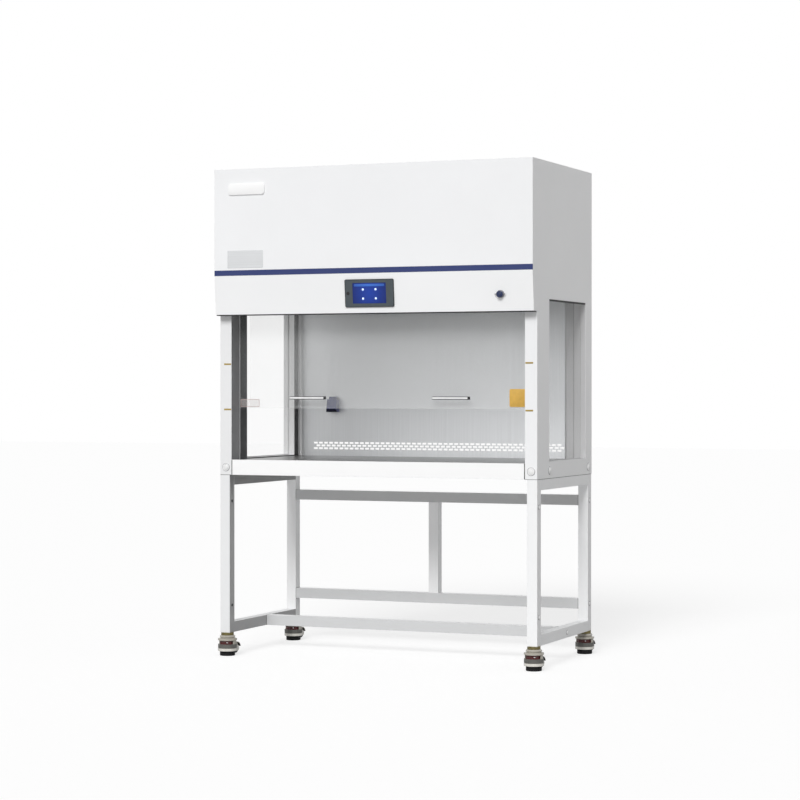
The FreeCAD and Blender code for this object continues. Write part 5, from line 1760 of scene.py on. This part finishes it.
@dataclass
class Casters:
    """The four levelling casters: hoods, wheels, thumb dials and foot pads."""

    leg_x: float = 0.630
    leg_places: Span = (0.070, 0.665)
    fender_reach: float = 0.041
    fender_cosine: float = 0.3
    band_height: Span = (0.0292, 0.0445)
    band_radius: Span = (0.0366, 0.0345)
    band_thick: float = 0.0012
    band_start: Span = (0.0003, 0.0002)
    band_taper: float = 0.98
    band_steps: int = 48
    band_open_deg: float = 52.0
    pointer: Point = (0.0056, 0.0022, 0.0026)
    pointer_place: Point = (0.0296, -66.0, 0.0515)
    pointer_soft: float = 0.0006

    def dress(self) -> None:
        """Dresses each caster's pieces."""
        for corner in Corner:
            self._dress_one(corner)

    def _dress_one(self, corner: Corner) -> None:
        """Dresses one caster, with a lighter copy of its hood's ivory on the lower rim as a painted highlight,
        and its dark fender.

        Args:
            corner: Its corner of the stand.
        """
        dress_nodes(IVORY, "caster_hood_" + corner.word)
        dress_nodes(BLACK_PLASTIC, "caster_wheel_" + corner.word)
        dress_nodes(DIAL_RED, "level_dial_" + corner.word)
        dress_nodes(PAD_RUBBER, "foot_pad_" + corner.word)
        axis, trail = self._axis(corner), self._trail(corner)
        axle = Vector((-math.sin(trail), math.cos(trail), 0.0))
        # Painted highlight: the hood's lower rim gets the lighter ivory.
        dress_faces("caster_hood_" + corner.word, CASTER_RIM_HIGHLIGHT,
                    lambda centre, normal: centre.z < self.band_height[0])
        dress_faces("caster_hood_" + corner.word, CASTER_DARK,
                    lambda centre, normal: (centre - axis).xy.length > self.fender_reach
                    and abs(normal.dot(axle)) < self.fender_cosine)

    def build(self) -> None:
        """Models the first caster's band and pointer, and copies both to the other corners."""
        first, *others = Corner
        places = [(first, self._band(first), self._pointer(first))]
        for corner in others:
            shift = self._axis(corner) - self._axis(first)
            places.append((corner, places[0][1].copy("caster_band_" + corner.word, shift),
                           places[0][2].copy("level_pointer_" + corner.word, shift)))
        for corner, band, pointer in places:
            band.finish(CASTER_GREY, "caster_hood_" + corner.word, "caster_ivory")
            pointer.finish(WHITE_PLASTIC, "level_dial_" + corner.word, "white_plastic")

    def _axis(self, corner: Corner) -> Vector:
        """Gives the place of a corner's swivel on the floor."""
        _, side, end = corner.value
        return Vector((side * self.leg_x, back(self.leg_places[end > 0]), 0.0))

    def _trail(self, corner: Corner) -> float:
        """Gives the direction in which a corner's wheel stands off its swivel, as an angle from X."""
        offset = middle("caster_wheel_" + corner.word) - self._axis(corner)
        return math.atan2(offset.y, offset.x)

    def _band(self, corner: Corner) -> Workpiece:
        """Models the band by spinning a slanted strip round the hood, from the wheel's one side to the other.

        Args:
            corner: The band's corner of the stand.

        Returns:
            The band, ready to dress.
        """
        axis = self._axis(corner)
        low, high = self.band_height
        wide, narrow = self.band_radius
        depth, growth = self.band_start
        gap = math.radians(self.band_open_deg)
        band = Workpiece.block("caster_band_" + corner.word, (axis.x + wide - self.band_thick, axis.y, low),
                               (axis.x + wide, axis.y + depth, high))
        band.taper(lambda centre, normal: normal.z > ALONG, (narrow - wide, 0.0, growth),
                   self.band_taper)
        band.sweep(lambda centre, normal: normal.y > ALONG and centre.z < high, axis, (0, 0, 1),
                   2 * (gap - math.pi), self.band_steps)
        return band.turn(axis, (0.0, 0.0, self._trail(corner) + gap))

    def _pointer(self, corner: Corner) -> Workpiece:
        """Models the small light pointer on the dial's edge.

        Args:
            corner: The pointer's corner of the stand.

        Returns:
            The pointer, ready to dress.
        """
        axis = self._axis(corner)
        radius, turn_deg, height = self.pointer_place
        centre = Vector((axis.x + radius, axis.y, height))
        wide, thick, tall = self.pointer
        half = Vector((thick, wide, tall)) / 2
        pointer = Workpiece.block("level_pointer_" + corner.word, centre - half, centre + half)
        pointer.turn(axis, (0.0, 0.0, math.radians(turn_deg)))
        return pointer.soften(self.pointer_soft)


@dataclass
class Studio:
    """The camera, the soft studio light, the pale floor and the white background."""

    camera_place: Point = (3.442, -8.252, 1.038)
    yaw_deg: float = 22.8
    pitch_deg: float = -0.3
    focal_px: float = 2296.0
    frame_px: float = 800.0
    sensor_mm: float = 36.0
    fill: float = 0.38
    key_strength: float = 2.05
    key_angle_deg: float = 24.0
    key_elevation_deg: float = 36.0
    key_azimuth_deg: float = 5.0
    floor_size: float = 60.0
    floor_glow: float = 0.69
    floor_colours: Span = (0.70, 0.38)
    floor_drop: float = 0.0002
    far_clip: float = 100.0

    def build(self) -> None:
        """Sets up the whole studio."""
        bpy.context.scene.view_settings.view_transform = "Standard"
        self._camera()
        self._background()
        self._key_light()
        self._floor()

    def _camera(self) -> None:
        """Stands the camera where the photograph was taken from."""
        bpy.ops.object.camera_add(location=self.camera_place)
        camera = bpy.context.active_object
        camera.name = "photo_camera"
        camera.rotation_euler = (math.radians(90.0 + self.pitch_deg), 0.0, math.radians(self.yaw_deg))
        camera.data.sensor_width = self.sensor_mm
        camera.data.lens = self.sensor_mm * self.focal_px / self.frame_px
        camera.data.clip_end = self.far_clip
        bpy.context.scene.camera = camera

    def _background(self) -> None:
        """Makes the world white to the eye and to reflections, and a plain fill light to the rest."""
        world = bpy.data.worlds.new("studio_world")
        world.use_nodes = True
        bpy.context.scene.world = world
        nodes, links = world.node_tree.nodes, world.node_tree.links
        background = nodes["Background"]
        background.inputs["Color"].default_value = (1.0, 1.0, 1.0, 1.0)
        path = nodes.new("ShaderNodeLightPath")
        seen = path.outputs["Is Camera Ray"]
        for name in ("Is Glossy Ray", "Is Transmission Ray"):
            larger = nodes.new("ShaderNodeMath")
            larger.operation = "MAXIMUM"
            links.new(seen, larger.inputs[0])
            links.new(path.outputs[name], larger.inputs[1])
            seen = larger.outputs["Value"]
        strength = nodes.new("ShaderNodeMapRange")
        strength.inputs["To Min"].default_value = self.fill
        strength.inputs["To Max"].default_value = 1.0
        links.new(seen, strength.inputs["Value"])
        links.new(strength.outputs["Result"], background.inputs["Strength"])

    def _key_light(self) -> None:
        """Sets the wide soft key light in front of the cabinet, a little to the right."""
        turn = (math.radians(90.0 - self.key_elevation_deg), 0.0, math.radians(self.key_azimuth_deg))
        bpy.ops.object.light_add(type="SUN", rotation=turn)
        lamp = bpy.context.active_object
        lamp.name = "key_light"
        lamp.data.energy = self.key_strength
        lamp.data.angle = math.radians(self.key_angle_deg)

    def _floor(self) -> None:
        """Lays the pale floor, which keeps the cabinet's soft shadow."""
        bpy.ops.object.select_all(action="DESELECT")
        bpy.ops.mesh.primitive_plane_add(size=self.floor_size, location=(0.0, 0.0, -self.floor_drop))
        floor = bpy.context.active_object
        floor.name = "studio_floor"
        graph = Graph("studio_floor")
        graph.values(Roughness=1.0, Specular_IOR_Level=0.0, Emission_Color=(1.0, 1.0, 1.0))
        path = graph.nodes.new("ShaderNodeLightPath")
        spans = (("Emission Strength", (0.0, self.floor_glow)), ("Base Color", self.floor_colours))
        for socket, span in spans:
            value = graph.remap(path.outputs["Is Camera Ray"], (0.0, 1.0), span)
            graph.link(value, graph.shader.inputs[socket])
        floor.data.materials.append(graph.material)


def main() -> None:
    """Builds the studio, then dresses and builds each sub-assembly in order."""
    logging.basicConfig(level=logging.INFO, format="%(message)s")
    Studio().build()
    Plant().dress()
    for part in (UpperFront(), ControlPanel(), SideWalls(), Chamber(), Sash(), Counterbalance(), Stand(),
                 Casters()):
        part.dress()
        part.build()


if __name__ == "__main__":
    main()
